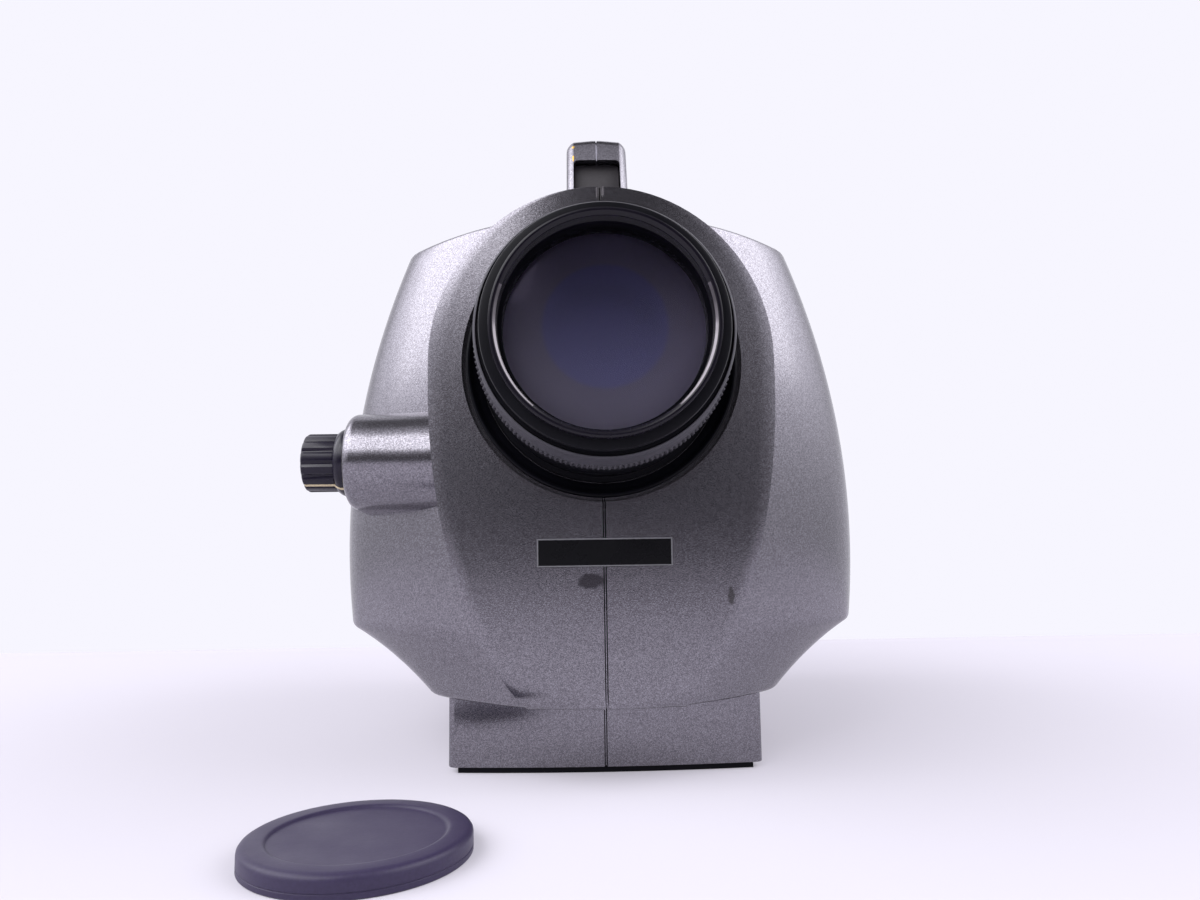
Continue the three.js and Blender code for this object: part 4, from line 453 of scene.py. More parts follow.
# The carrying handle, half of it moulded on each shell, with raked legs, rounded edges and a
# pocket in its front leg.
handle_half = 13.5
handle_top = 272.3
handle_bar = 16
handle_front = 25
handle_rear = 190
handle_rake = 22
handle_leg = 24
handle_round = 7
handle_front_round = 4
handle_edge = 3.4
handle_edge_back = 2.3
handle_edge_drop = 2.2
handle_edge_shares = [
    (0, 1.25, 1.6), (0.08, 0.92, 1.1), (0.3, 0.67, 0.6), (0.57, 0.38, 0.26), (0.86, 0.08, 0.05),
    (1, 0, 0), (3.4, 0, -0.34),
]
handle_sink = 6
pocket_half = 10.3
pocket_drop = 12
pocket_depth = 12


def softened(corners, steps=6):
    """An outline through corners given with a radius; a corner with none stays sharp."""
    points = []
    for index, (across, up, radius) in enumerate(corners):
        here = Vector((across, up))
        if not radius:
            points.append(here)
            continue
        before = Vector(corners[index - 1][:2])
        after = Vector(corners[(index + 1) % len(corners)][:2])
        start = here + (before - here).normalized() * radius
        end = here + (after - here).normalized() * radius
        for step in range(steps + 1):
            t = step / steps
            points.append((1 - t) ** 2 * start + 2 * t * (1 - t) * here + t * t * end)
    return points


foot_z = nose_top_z - handle_sink


def handle_outline(back, drop):
    front = handle_front + back
    rear = handle_rear - back
    top = handle_top - drop
    under = handle_top - handle_bar + drop
    leg = handle_leg - back - drop
    return softened([
        (front - handle_rake, foot_z, 0),
        (front, top, handle_front_round),
        (rear, top, handle_round),
        (rear + handle_rake, foot_z, 0),
        (rear + handle_rake - leg, foot_z, 0),
        (rear - leg, under, handle_round),
        (front + leg, under, handle_round),
        (front - handle_rake + leg, foot_z, 0),
    ])


handle_rings = []
for across, back_share, drop_share in handle_edge_shares:
    x = handle_half - handle_edge * across
    outline = handle_outline(handle_edge_back * back_share, handle_edge_drop * drop_share)
    handle_rings.append([place(x, y, z) for y, z in outline])
left_rings = [[Vector((-point.x, point.y, point.z)) for point in ring] for ring in handle_rings]
handle = lofted("handle", handle_rings + left_rings[::-1])

# The lens seat, the openings and the hollow inside are cut as in the moulds, and the whole is
# parted along the middle into a left and a right shell.
lens_z = 158.7
seat_radius = 62
seat_depth = 11
seat_step = 53.8
seat_step_depth = 8
seat_bore = 46.3
panel_half = 64
panel_low = 48
panel_high = 198
panel_corner = 7
panel_thickness = 3
ledge = 4
plate_half = 25.2
plate_tall = 5.2
plate_z = 86.2
plate_sink = 1.2
bush_radius = 9.2
past = 5
clearance = 0.2


def block(name, x0, x1, y0, y1, z0, z1):
    middle = place((x0 + x1) / 2, (y0 + y1) / 2, (z0 + z1) / 2)
    bpy.ops.mesh.primitive_cube_add(size=1, location=middle)
    piece = bpy.context.object
    piece.name = name
    piece.scale = ((x1 - x0) * mm, (y1 - y0) * mm, (z1 - z0) * mm)
    bpy.ops.object.transform_apply(location=True, rotation=True, scale=True)
    return piece


def round_bar(radius, centre, near, far, axis="Y", sides=96):
    """A round bar along an axis, through a centre given by its other two places."""
    index = "XYZ".index(axis)
    ends = [place(*centre[:index], along, *centre[index:]) for along in (near, far)]
    turn = {"X": (0, math.pi / 2, 0), "Y": (math.pi / 2, 0, 0), "Z": (0, 0, 0)}[axis]
    bpy.ops.mesh.primitive_cylinder_add(
        vertices=sides, radius=radius * mm, depth=(far - near) * mm,
        location=(ends[0] + ends[1]) / 2, rotation=turn,
    )
    bpy.ops.object.transform_apply(location=True, rotation=True, scale=True)
    return bpy.context.object


def panel_block(name, grow, y0, y1):
    half = panel_half + grow
    ends = [(half, panel_low - grow), (half, panel_high + grow)]
    corners = [(x, z, panel_corner) for x, z in ends + [(-x, z) for x, z in ends[::-1]]]
    return lofted(name, [[place(x, y, z) for x, z in softened(corners)] for y in (y0, y1)])


housing = body
for form in (nose, plinth, boss, handle):
    join(housing, form)
inside = body_form("inside", wall_thickness, 3, 10, 10)
join(inside, nose_form("nose_inside", wall_thickness, 12, 12, 5))
join(inside, plinth_form("plinth_inside", wall_thickness, plinth_z - 3, bottom_z + 8))
panel_outer_y = rear_y - clearance
panel_inner_y = panel_outer_y - panel_thickness
seat = round_bar(seat_radius, (0, lens_z), front_y, front_y + seat_depth)
rim = panel_block("rim", ledge, panel_inner_y - clearance - wall_thickness, rear_y)
join(seat, rim)
cut(inside, seat)
cut(housing, inside)
cuts = [
    round_bar(seat_step, (0, lens_z), front_y - past, front_y + seat_step_depth, sides=160),
    round_bar(seat_bore, (0, lens_z), front_y - past, front_y + seat_depth + past, sides=160),
    round_bar(bush_radius, (knob_y, knob_z), boss_x - 3, boss_x + 50, "X", 48),
    panel_block("panel_seat", 0.3, panel_inner_y - clearance, rear_y + past),
    panel_block("panel_hole", -ledge, panel_inner_y - 10, rear_y + past),
    block(
        "plate_recess", -plate_half - clearance, plate_half + clearance, front_y - past,
        front_y + plate_sink, plate_z - plate_tall - clearance, plate_z + plate_tall + clearance,
    ),
]


def raked_y(z):
    return handle_front - handle_rake * (handle_top - z) / (handle_top - foot_z)


pocket_low = nose_top_z + 0.2
pocket_high = handle_top - pocket_drop
pocket_round = 2.4


def pocket_rings(shrink, near, far):
    half = pocket_half - shrink
    low = pocket_low + shrink
    high = pocket_high - shrink
    outline = softened([
        (half, low, 0), (half, high, pocket_round), (-half, high, pocket_round), (-half, low, 0),
    ])
    return [[place(x, raked_y(z) + depth, z) for x, z in outline] for depth in (near, far)]


cuts.append(lofted("pocket", pocket_rings(0, -pocket_depth, pocket_depth)))
for cutter in cuts:
    cut(housing, cutter)


# The paint is a gunmetal grey with fine metal flakes over a slightly pebbled surface. It has a
# dark smudge below the plate, a stain on the right of the nose, pale chips at the notch on top
# of the nose, a pale line along the handle's seam and orange specks on the handle. The
# near-black in that notch and the top of the groove below it is painted shade. The paint goes
# on after the halves are parted.
def new_finish(name):
    """A new material, its surface shader and the place on the piece."""
    finish = bpy.data.materials.new(name)
    finish.use_nodes = True
    where = add_node(finish, "TexCoord").outputs["Object"]
    return finish, finish.node_tree.nodes["Principled BSDF"], where


def noise(finish, where, scale, detail):
    inputs = {"Vector": where, "Scale": scale, "Detail": detail}
    return add_node(finish, "TexNoise", inputs).outputs["Fac"]


def blend(finish, factor, low, high):
    inputs = {"Factor": factor, "A": (*low, 1), "B": (*high, 1)}
    return add_node(finish, "Mix", inputs, data_type="RGBA").outputs["Result"]


def bumps(finish, height, strength, depth):
    inputs = {"Height": height, "Strength": strength, "Distance": depth}
    return add_node(finish, "Bump", inputs).outputs["Normal"]


gunmetal, gunmetal_surface, on_housing = new_finish("gunmetal_paint")
flake_colour = add_node(gunmetal, "TexVoronoi", {"Vector": on_housing, "Scale": 3400})
flake = add_node(gunmetal, "SeparateColor", {"Color": flake_colour.outputs["Color"]})
cloud = noise(gunmetal, on_housing, 14, 4)
paint_marks_and_shade = add_node(gunmetal, "VectorMath", {
    0: blend(
        gunmetal, ramp(gunmetal, flake.outputs["Red"], 0.2, 1, 0, 1),
        (0.15, 0.142, 0.16), (0.30, 0.29, 0.32),
    ),
    "Scale": ramp(gunmetal, cloud, 0, 1, 0.97, 1.03),
}, operation="SCALE").outputs["Vector"]
ragged = noise(gunmetal, on_housing, 500, 3)
for x, y, z, width, height, colour, ragged_by in (
    (-5.2, front_y, 75.6, 11.5, 6.5, (0.075, 0.07, 0.08), 0.8),
    (47, front_y + 6, 69.5, 3, 7, (0.10, 0.095, 0.10), 1.4),
    (-1.1, front_y, 225.3, 0.8, 5.5, (0.7, 0.66, 0.7), 0.9),
    (1.2, front_y, 225.3, 1.2, 5, (0.7, 0.66, 0.7), 0.9),
    # painted shade: near-black in the notch on top of the nose and the top of the groove below it
    (0, front_y + 1, 225.3, 1.5, 8, (0.02, 0.02, 0.025), 0.2),
    (0, handle_front - 3, 266, 0.8, 14, (0.6, 0.58, 0.66), 0.7),
    (-10.4, handle_front - 5, 268, 1.6, 1.6, (0.75, 0.45, 0.10), 0.8),
    (-10.4, handle_front - 7, 261.5, 0.9, 4, (0.75, 0.45, 0.10), 1.2),
):
    offset = calculate(gunmetal, "VectorMath", "SUBTRACT", on_housing, place(x, y, z))[0]
    scale = (2 / (width * mm), 50, 2 / (height * mm))
    stretched = calculate(gunmetal, "VectorMath", "MULTIPLY", offset, scale)[0]
    away = calculate(gunmetal, "VectorMath", "LENGTH", stretched)["Value"]
    edge = calculate(gunmetal, "Math", "MULTIPLY_ADD", ragged, ragged_by, away)[0]
    paint_marks_and_shade = add_node(gunmetal, "Mix", {
        "Factor": ramp(gunmetal, edge, 1 + ragged_by / 2, 0.7 + ragged_by / 2, 0, 1),
        "A": paint_marks_and_shade, "B": (*colour, 1),
    }, data_type="RGBA").outputs["Result"]
set_inputs(gunmetal, gunmetal_surface, {
    "Metallic": 0.92,
    "Base Color": paint_marks_and_shade,
    "Roughness": ramp(gunmetal, cloud, 0, 1, 0.18, 0.22),
    "Normal": bumps(gunmetal, noise(gunmetal, on_housing, 2400, 1), 0.16, 0.00009),
})


def paint_on(piece, finish, body, slot, *nodes, angle=35):
    """Smooths and paints a piece, and names its body and the nodes it replaces; its slot is not
    used.
    """
    only(piece)
    bpy.ops.object.shade_smooth_by_angle(angle=math.radians(angle))
    piece.data.materials.clear()
    piece.data.materials.append(finish)
    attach(piece, body)
    if nodes:
        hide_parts(*nodes)


def twin(piece):
    only(piece)
    bpy.ops.object.duplicate()
    return bpy.context.object


tongue = twin(housing)
other_half = twin(housing)
reach = 400
groove_cut = block("groove", -groove / 2, groove / 2, -reach, reach, -reach, nose_top_z + 0.3)
join(groove_cut, block(
    "notch", -notch / 2, notch / 2, front_y - 2, front_y + 1.5, nose_top_z - 3.6, nose_top_z + 0.3
))
for half in (housing, other_half):
    cut(half, twin(groove_cut))
bpy.data.objects.remove(groove_cut)
for half, x0, x1 in ((housing, -seam / 2, reach), (other_half, -reach, seam / 2)):
    cut(half, block("side", x0, x1, -reach, reach, -reach, reach))
housing.name = "left_housing_shell"
other_half.name = "right_housing_shell"
paint_on(housing, gunmetal, "housing", "housing_paint", "left_shell")
paint_on(other_half, gunmetal, "housing", "housing_paint", "right_shell")

# The halves meet on a thin tongue that stands in the seam, a little below the surface.
tongue.name = "seam_tongue"
thin_slice = block("slice", -tongue_half, tongue_half, -reach, reach, -reach, reach)
combine(tongue, thin_slice, "INTERSECT")
tongue_shrink = 0.9965
middle = place(0, (front_y + rear_y) / 2, (plinth_z + handle_top) / 2)
shrink = Matrix.Diagonal((1, tongue_shrink, tongue_shrink, 1))
tongue.data.transform(Matrix.Translation(middle) @ shrink @ Matrix.Translation(-middle))
paint_on(tongue, gunmetal, "housing", "housing_paint")

# The lens ring is a black bezel in the stepped seat of the nose, with a thin raised lip and a
# funnel that leads in to the barrel. It is turned and coated in satin black.
def coat(name, colour, low, high, grain_scale=900, depth=0.00004, gloss=0.5):
    finish, surface, where = new_finish(name)
    grain = noise(finish, where, grain_scale, 3)
    set_inputs(finish, surface, {
        "Specular IOR Level": gloss,
        "Base Color": blend(finish, grain, [c * 0.75 for c in colour], [c * 1.25 for c in colour]),
        "Roughness": ramp(finish, noise(finish, where, 60, 5), 0.3, 0.7, low, high),
        "Normal": bumps(finish, grain, 0.3, depth),
    })
    return finish


def turned(name, profile, centre=(0, lens_z), steps=128, axis="Y"):
    """A turned piece: (radius, place along the axis) pairs in millimetres, spun full circle."""
    bpy.ops.mesh.primitive_circle_add(vertices=len(profile), fill_type="NOTHING")
    piece = bpy.context.object
    piece.name = name
    index = "XYZ".index(axis)

    def at(out, along):
        across = (centre[0] + out, centre[1])
        return place(*across[:index], along, *across[index:])

    for vertex, (radius, along) in zip(piece.data.vertices, profile):
        vertex.co = at(radius, along)
    mode("EDIT")
    bpy.ops.mesh.select_all(action="SELECT")
    bpy.ops.mesh.spin(
        steps=steps, angle=2 * math.pi, center=at(0, 0), axis=[float(axis == a) for a in "XYZ"],
        use_auto_merge=True,
    )
    mode("OBJECT")
    tidy_mesh(piece)
    return piece


def arc(radius, along, sag, steps=10):
    """Points of a lens surface from its rim to its middle."""
    shares = [1 - step / steps for step in range(steps + 1)]
    return [(radius * share, along + sag * (1 - share * share)) for share in shares]


satin_black = coat("satin_black_paint", (0.003, 0.003, 0.005), 0.32, 0.5, gloss=0.11)
bezel_back = front_y + 7.8
bezel = turned("nose_bezel", [
    (46.6, bezel_back), (52, bezel_back), (52, -24.9), (51.8, -25.35), (51.2, -25.6),
    (50.6, -25.4), (50.2, -24.8), (49.6, -23.6), (48.4, -22.5), (46.9, -21.9), (46.6, -21.5),
])
paint_on(bezel, satin_black, "housing", "satin_black", "nose_ring")

# The lens mount is the fixed black barrel, bolted behind the seat; the focus ring turns on it.
mount = turned("lens_mount_barrel", [
    (38.6, -76.4), (41.6, -76.4), (41.6, -56.7), (43.4, -56.7), (43.8, -56.3), (43.8, -32),
    (43.5, -31.7), (43.5, -31), (43.8, -30.7), (43.8, -20), (46, -20), (46, -16.8),
    (56, -16.8), (56, -12.8), (38.6, -12.8),
])
paint_on(mount, satin_black, "housing", "satin_black", "lens_mount")

# The focus ring is dark grey metal: a plain cone in front, a band of fine cut ribs behind it,
# and a plain rear edge.
ring_front = -77
ring_rear = -57
ring_radius = 44.6
ring_bore = 41.9
rib_count = 150
rib_deep = 1
ring_rows = [
    (ring_bore, ring_rear, 0), (43.3, ring_rear, 0), (ring_radius - 0.4, ring_rear - 0.1, 0),
    (ring_radius, ring_rear - 0.5, 1), (ring_radius, -61.4, 1), (ring_radius - 0.3, -61.9, 0.6),
    (43.6, -62.3, 0), (43.4, -64, 0), (43.1, -71, 0), (42.9, -75.6, 0),
    (42.5, ring_front + 0.5, 0), (42.1, ring_front, 0), (ring_bore, ring_front, 0),
]


def ribbed_loops(rows, ribs, deep):
    """Closed rows of points round the lens axis, with a square cut between every two ribs."""
    loops = []
    for radius, along, ribbed in rows:
        loop = []
        for step in range(ribs * 4):
            angle = 2 * math.pi * step / (ribs * 4)
            out = radius - (deep * ribbed if step % 4 in (2, 3) else 0)
            loop.append(place(out * math.cos(angle), along, lens_z + out * math.sin(angle)))
        loops.append(loop)
    return loops + loops[:1]


focus_ring = lofted("focus_ring_ribbed", ribbed_loops(ring_rows, rib_count, rib_deep))
ring_grey = coat("ring_grey_paint", (0.048, 0.046, 0.055), 0.42, 0.6, gloss=0.3)
paint_on(focus_ring, ring_grey, "focus_ring", "knurl_grey", "focus_ring", angle=30)

# The front barrel slides out as the ring turns: a black head with a fine engraved line and a
# long sleeve that holds the glasses.
barrel = turned("front_barrel_turned", [
    (36.1, -82), (39.6, -82), (40.2, -81.7), (40.5, -81.1), (40.5, -80.2), (40.3, -80),
    (40.3, -79.7), (40.5, -79.5), (40.5, -77.9), (40.1, -77.4), (38.3, -77.4), (38.3, -16.8),
    (30.3, -16.8), (30.3, -60), (36.1, -60),
])
paint_on(barrel, satin_black, "front_barrel", "satin_black", "front_barrel")

# The filter ring is turned from black metal, with rounded edges and a fine thread inside it
# for filters; the push-in cap holds there too.
threads = []
for step in range(6):
    along = -84.4 + step * 0.9
    threads += [
        (34.6, along), (34.6, along + 0.3), (34.85, along + 0.45), (34.85, along + 0.75),
    ]
filter_ring = turned("filter_ring_turned", threads[::-1] + [
    (34.6, -84.9), (35.4, -85.75), (35.8, -85.95), (36.4, -86), (36.9, -85.75), (37.1, -85.2),
    (37.1, -82.2), (35.9, -82.2), (35.9, -77.6), (34.6, -77.6),
], steps=160)
gloss_black = coat("gloss_black_paint", (0.005, 0.004, 0.008), 0.16, 0.3, 600, 0.00002, 0.26)
paint_on(filter_ring, gloss_black, "front_barrel", "satin_black", "filter_ring")
# painted highlight: a lighter, shinier metal on the lower part of the inner chamfer gives it
# bright crescents
rim_highlight_metal = coat("rim_highlight_metal", (0.13, 0.12, 0.13), 0.10, 0.18, 300, 0.00001)
rim_highlight_metal.node_tree.nodes["Principled BSDF"].inputs["Metallic"].default_value = 1
filter_ring.data.materials.append(rim_highlight_metal)
for face in filter_ring.data.polygons:
    offset = face.center - place(0, 0, lens_z)
    across = math.hypot(offset.x, offset.z)
    chamfer = -85.7 * mm < offset.y < -84.95 * mm and across < 35.4 * mm
    if chamfer and -27 * mm < offset.z < 12 * mm:
        face.material_index = 1


# The front lens is a thick glass, rounded on both faces, with a blue-violet coating and a
# blackened edge. A milky haze is in it; it thins towards the top, painted shade below the
# rim, and it is bluer in a disc in the middle, painted to stand for the rear glass seen through
# the stop.
def lens_glass(name, colour, tint, low=0, high=0.06):
    finish, surface, where = new_finish(name)
    set_inputs(finish, surface, {
        "Base Color": (*colour, 1),
        "Transmission Weight": 1,
        "IOR": 1.5,
        "Specular Tint": (*tint, 1),
        "Roughness": ramp(finish, noise(finish, where, 25, 3), 0.45, 0.8, low, high),
    })
    return finish


coating = (0.8, 0.7, 1)
haze_and_shade_glass = lens_glass("coated_glass_haze_and_shade", (0.50, 0.48, 0.74), coating)
on_lens = haze_and_shade_glass.node_tree.nodes["Texture Coordinate"].outputs["Object"]
height_in_lens = add_node(haze_and_shade_glass, "SeparateXYZ", {"Vector": on_lens}).outputs["Z"]
# painted shade and light: the haze thins upwards, so the glass is darker at the top and lighter
# below
haze_and_painted_shade = ramp(
    haze_and_shade_glass, height_in_lens, (lens_z - 34) * mm, (lens_z + 26) * mm, 0.885, 0.99, "SMOOTHSTEP"
)
on_face = calculate(haze_and_shade_glass, "VectorMath", "MULTIPLY", on_lens, (1, 0, 1))[0]
lens_axis = (0, 0, lens_z * mm)
from_axis = calculate(haze_and_shade_glass, "VectorMath", "DISTANCE", on_face, lens_axis)["Value"]
# painted in: a bluer disc in the middle stands for the rear glass seen through the stop
outside_painted_disc = ramp(haze_and_shade_glass, from_axis, 19.5 * mm, 21 * mm, 0, 1)
set_inputs(haze_and_shade_glass, haze_and_shade_glass.node_tree.nodes["Principled BSDF"], {
    "Specular IOR Level": 0.2,
    "IOR": 1.2,
    "Transmission Weight": haze_and_painted_shade,
    "Base Color": blend(haze_and_shade_glass, outside_painted_disc, (0.44, 0.44, 0.80), (0.50, 0.47, 0.60)),
})
front_lens = turned("front_lens_glass", [
    *arc(33.4, -77.4, -2.2, 14)[::-1], (35.6, -77.4), (35.8, -77.2), (35.8, -70.2),
    (35.6, -70), *arc(33.4, -70, 3, 10),
])
paint_on(front_lens, haze_and_shade_glass, "front_barrel", "coated_glass", "front_lens")
dull_back = lens_glass("dull_back_of_glass", (0.62, 0.60, 0.78), coating, 0.34, 0.4)
front_lens.data.materials.append(dull_back)
front_lens.data.materials.append(satin_black)
for face in front_lens.data.polygons:
    if face.center.y > (-76.5 - origin_y) * mm:
        face.material_index = 1
    if math.hypot(face.center.x, face.center.z - lens_z * mm) > 33.4 * mm:
        face.material_index = 2

# Behind it a black stop plate with a round hole, and the rear lens.
stop = turned("lens_stop_plate", [
    (19, -60.2), (18.9, -60.8), (19.9, -62.4), (35.7, -62.4), (35.9, -62.2), (35.9, -60.2),
])
stop_black = coat("stop_black", (0.016, 0.016, 0.024), 0.45, 0.6)
paint_on(stop, stop_black, "front_barrel", "satin_black", "lens_stop")
rear_lens = turned("rear_lens_glass", [
    *arc(30, -52, -3, 8)[::-1], (30, -46), *arc(30, -46, 3, 8)[1:],
], steps=96)
# painted shade: the rear glass is tinted dark blue, so the inside of the instrument shows dark and
# bluish through it
rear_glass_painted_dark = lens_glass("coated_glass_painted_dark", (0.10, 0.10, 0.20), coating, 0.45, 0.55)
paint_on(rear_lens, rear_glass_painted_dark, "front_barrel", "coated_glass", "rear_lens")

# The selector knob is a glossy black moulding with rounded flutes, a crowned end, a wider
# skirt, and a cream line filled in along it that shows the chosen field.
knob_end = -119.6
skirt_left = -106.5
skirt_right = -102.2
flutes = 14
flute_deep = 0.75
knob_rows = [
    (skirt_left + 0.1, 11.6, 0), (skirt_left - 0.2, 11.8, 1), (knob_end + 1.3, 11.8, 1),
    (knob_end + 0.6, 11.5, 0.8), (knob_end + 0.2, 10.8, 0.4), (knob_end, 9.8, 0),
    (knob_end, 8.6, 0), (knob_end + 0.3, 8.2, 0), (knob_end + 0.35, 4, 0),
    (knob_end + 0.35, 0.1, 0),
]
knob_loops = []
for along, radius, fluted in knob_rows:
    loop = []
    for step in range(flutes * 10):
        angle = 2 * math.pi * step / (flutes * 10)
        wave = max(0, math.sin(flutes * angle) * 1.6 - 0.6) ** 0.7
        out = radius - flute_deep * fluted * wave
        loop.append(place(along, knob_y + out * math.cos(angle), knob_z + out * math.sin(angle)))
    knob_loops.append(loop)
knob = lofted("field_knob_grip", knob_loops)
skirt = turned("field_knob_skirt", [
    (0, skirt_left), (11.9, skirt_left), (12.4, skirt_left + 0.3), (13.2, skirt_left + 1.4),
    (13.75, skirt_left + 2.6), (13.75, skirt_right - 0.3), (13.5, skirt_right), (0, skirt_right),
], centre=(knob_y, knob_z), steps=96, axis="X")
join(knob, skirt)
cut(knob, round_bar(3.2, (knob_y, knob_z), -118.8, -100, "X", 32))
knob_black = coat("knob_black", (0.008, 0.006, 0.016), 0.14, 0.24, 700, 0.00002, 0.3)
paint_on(knob, knob_black, "field_selector", "black_plastic", "field_knob", angle=30)
line_angle = math.radians(-126)
line_y = math.cos(line_angle)
line_z = math.sin(line_angle)
line_points = [
    (knob_end + 0.8, 11.3), (knob_end + 1.2, 11.75), (skirt_left - 0.2, 11.85),
    (skirt_left + 0.3, 12.45), (skirt_left + 1.4, 13.25), (skirt_left + 2.6, 13.8),
    (skirt_right - 0.3, 13.8),
]
line_section = ((-0.55, -0.5), (0.55, -0.5), (0.55, 0.12), (-0.55, 0.12))
line_rings = [[
    place(
        along,
        knob_y + line_y * (radius + lift) - line_z * side,
        knob_z + line_z * (radius + lift) + line_y * side,
    )
    for side, lift in line_section
] for along, radius in line_points]
index_line = lofted("field_knob_index_line", line_rings)
cream = coat("cream_filling", (0.62, 0.52, 0.33), 0.4, 0.55)
paint_on(index_line, cream, "field_selector", "black_plastic")

# The blank black plate on the nose sits flush in its recess, with a fine bright edge.
plate_front = front_y + plate_sink - 0.2 - 0.9
plate = block("name_plate_blank", -plate_half, plate_half, plate_front, plate_front + 0.9,
              plate_z - plate_tall, plate_z + plate_tall)


def select_faces(piece, wanted):
    only(piece)
    mode("EDIT")
    bpy.ops.mesh.select_mode(type="FACE")
    bpy.ops.mesh.select_all(action="DESELECT")
    mode("OBJECT")
    for face in piece.data.polygons:
        face.select = wanted(face)
    mode("EDIT")


select_faces(plate, lambda face: face.normal.y < -0.9)
bpy.ops.mesh.inset(thickness=0.45 * mm, depth=0)
bpy.ops.mesh.inset(thickness=0.1 * mm, depth=-0.12 * mm)
mode("OBJECT")
plate_black = coat("plate_black", (0.004, 0.004, 0.005), 0.22, 0.34, gloss=0.15)
paint_on(plate, plate_black, "housing", "plate_black", "name_plate", angle=20)
plate_edge = coat("plate_edge", (0.15, 0.15, 0.16), 0.3, 0.45)
plate.data.materials.append(plate_edge)
for face in plate.data.polygons:
    middle = face.center - place(0, 0, plate_z)
    if abs(middle.x) > (plate_half - 0.5) * mm or abs(middle.z) > (plate_tall - 0.5) * mm:
        face.material_index = 1

# The dark insert at the back of the handle's front pocket.
insert = lofted("handle_pocket_insert", pocket_rings(0.2, 4.5, 11.8))
rounded(insert, 0.8, 2, 60)
insert_grey = coat("insert_grey", (0.034, 0.031, 0.034), 0.5, 0.65)
paint_on(insert, insert_grey, "housing", "handle_dark", "handle_insert")

# The base plate closes the plinth from below: black metal, its lower step set in a little, with
# rubber pads let in at the corners and a tapped steel bush for a tripod.
base_plate = lofted("base_plate_black", [
    [place(x, y - 2.3, z) for x, y in plinth_outline(3.8)] for z in (0, 2.4)
] + [
    [place(x, y, z) for x, y in plinth_outline(3.3)] for z in (2.4, 6)
])
rounded(base_plate, 0.2, 2, 50)
tripod_y = 84
cut(base_plate, round_bar(9.2, (0, tripod_y), -2, 8, "Z", 64))
foot_x = plinth_half - 5.5 - 14
feet = [
    (f"foot_{end}_{side}", x, y)
    for end, y in (("front", 19.5), ("rear", plinth_rear - 19.5))
    for side, x in (("left", -foot_x), ("right", foot_x))
]
for name, x, y in feet:
    cut(base_plate, round_bar(8.2, (x, y), -2, 2.2, "Z", 64))
paint_on(base_plate, satin_black, "housing", "satin_black", "base_plate")
rubber = coat("black_rubber", (0.014, 0.014, 0.015), 0.7, 0.85, 1300, 0.00012)
for name, x, y in feet:
    pad = turned(name + "_pad", [
        (0, 0.4), (5.6, 0.4), (6, 0), (7.5, 0), (8, 0.4), (8, 2), (0, 2),
    ], centre=(x, y), steps=64, axis="Z")
    paint_on(pad, rubber, "housing", "rubber", name)
bush_threads = []
for step in range(9):
    z = 1.2 + step * 1.4
    bush_threads += [(4.8, z), (4.3, z + 0.7)]
bush = turned("tripod_bush_tapped", [
    (5.3, 0), (8.6, 0), (9, 0.4), (9, 6.2), (12, 6.2), (12, 9.2), (9, 9.2),
    (9, 17.2), (0, 17.2), (0, 14.2), (4.8, 14.2), *bush_threads[::-1],
], centre=(0, tripod_y), steps=72, axis="Z")


def bare_metal(name, colour, low, high):
    finish, surface, where = new_finish(name)
    streak = noise(finish, where, 220, 4)
    set_inputs(finish, surface, {
        "Metallic": 1,
        "Base Color": blend(
            finish, streak, [c * 0.82 for c in colour], [min(1, c * 1.1) for c in colour]
        ),
        "Roughness": ramp(finish, streak, 0, 1, low, high),
    })
    return finish


steel = bare_metal("turned_steel", (0.45, 0.46, 0.48), 0.22, 0.42)
paint_on(bush, steel, "housing", "steel", "tripod_bush")

# The lens cap lies on the table before the instrument: a shallow push-in cap moulded in matt
# blue-grey plastic, its middle sunk inside a rounded rim, hollow below.
cap_x = -74.6
cap_y = -84.8
cap = turned("lens_cap_moulded", [
    (0, 5.8), (24.8, 5.8), (25.4, 5.85), (25.7, 6.05), (26, 6.45), (26.5, 6.66), (27.2, 6.7),
    (30.8, 6.7), (31.9, 6.55), (32.7, 6.1), (33.2, 5.4), (33.3, 4.6), (33.3, 2.1), (33.12, 1.95),
    (33.12, 1.75), (33.3, 1.6), (33.3, 0.3), (33, 0), (31.9, 0), (31.7, 0.2), (31.7, 3.9),
    (31.2, 4.1), (0, 4.1),
], centre=(cap_x, cap_y), steps=160, axis="Z")
cap_grey = coat("cap_blue_grey", (0.034, 0.026, 0.062), 0.38, 0.48, 1100, 0.00008, 0.32)
paint_on(cap, cap_grey, "lens_cap", "cap_plastic", "lens_cap")

# The rear panel is a dark grey moulding, screwed into the ledge round the rear opening, with
# openings for the eyepiece, the display, five keys and the connectors.
display_z = 122
window_half = 42
window_tall = 12
key_z = 90
low_z = 62
rocker_x = -44
inlet_x = -14
data_x = 28
lever_distance = 27.5
lever_x = lever_distance * math.cos(math.radians(45))
lever_z = lens_z + lever_distance * math.sin(math.radians(45))
key_places = [-44, -22, 0, 22, 44]
panel = panel_block("rear_panel_moulded", 0, panel_inner_y, panel_outer_y)
rounded(panel, 0.5, 2, 50)
for x, z, half, tall, from_y in (
    (0, display_z, window_half - 3, window_tall - 3, panel_inner_y - 2),
    (0, display_z, window_half + 0.2, window_tall + 0.2, panel_outer_y - 1.6),
    (rocker_x, low_z, 6, 9.4, panel_inner_y - 2),
    (data_x, low_z, 9.8, 5.3, panel_inner_y - 2),
    *[(x, key_z, 7.3, 4.3, panel_inner_y - 2) for x in key_places],
):
    hole = block("hole", x - half, x + half, from_y, panel_outer_y + 2, z - tall, z + tall)
    cut(panel, hole)
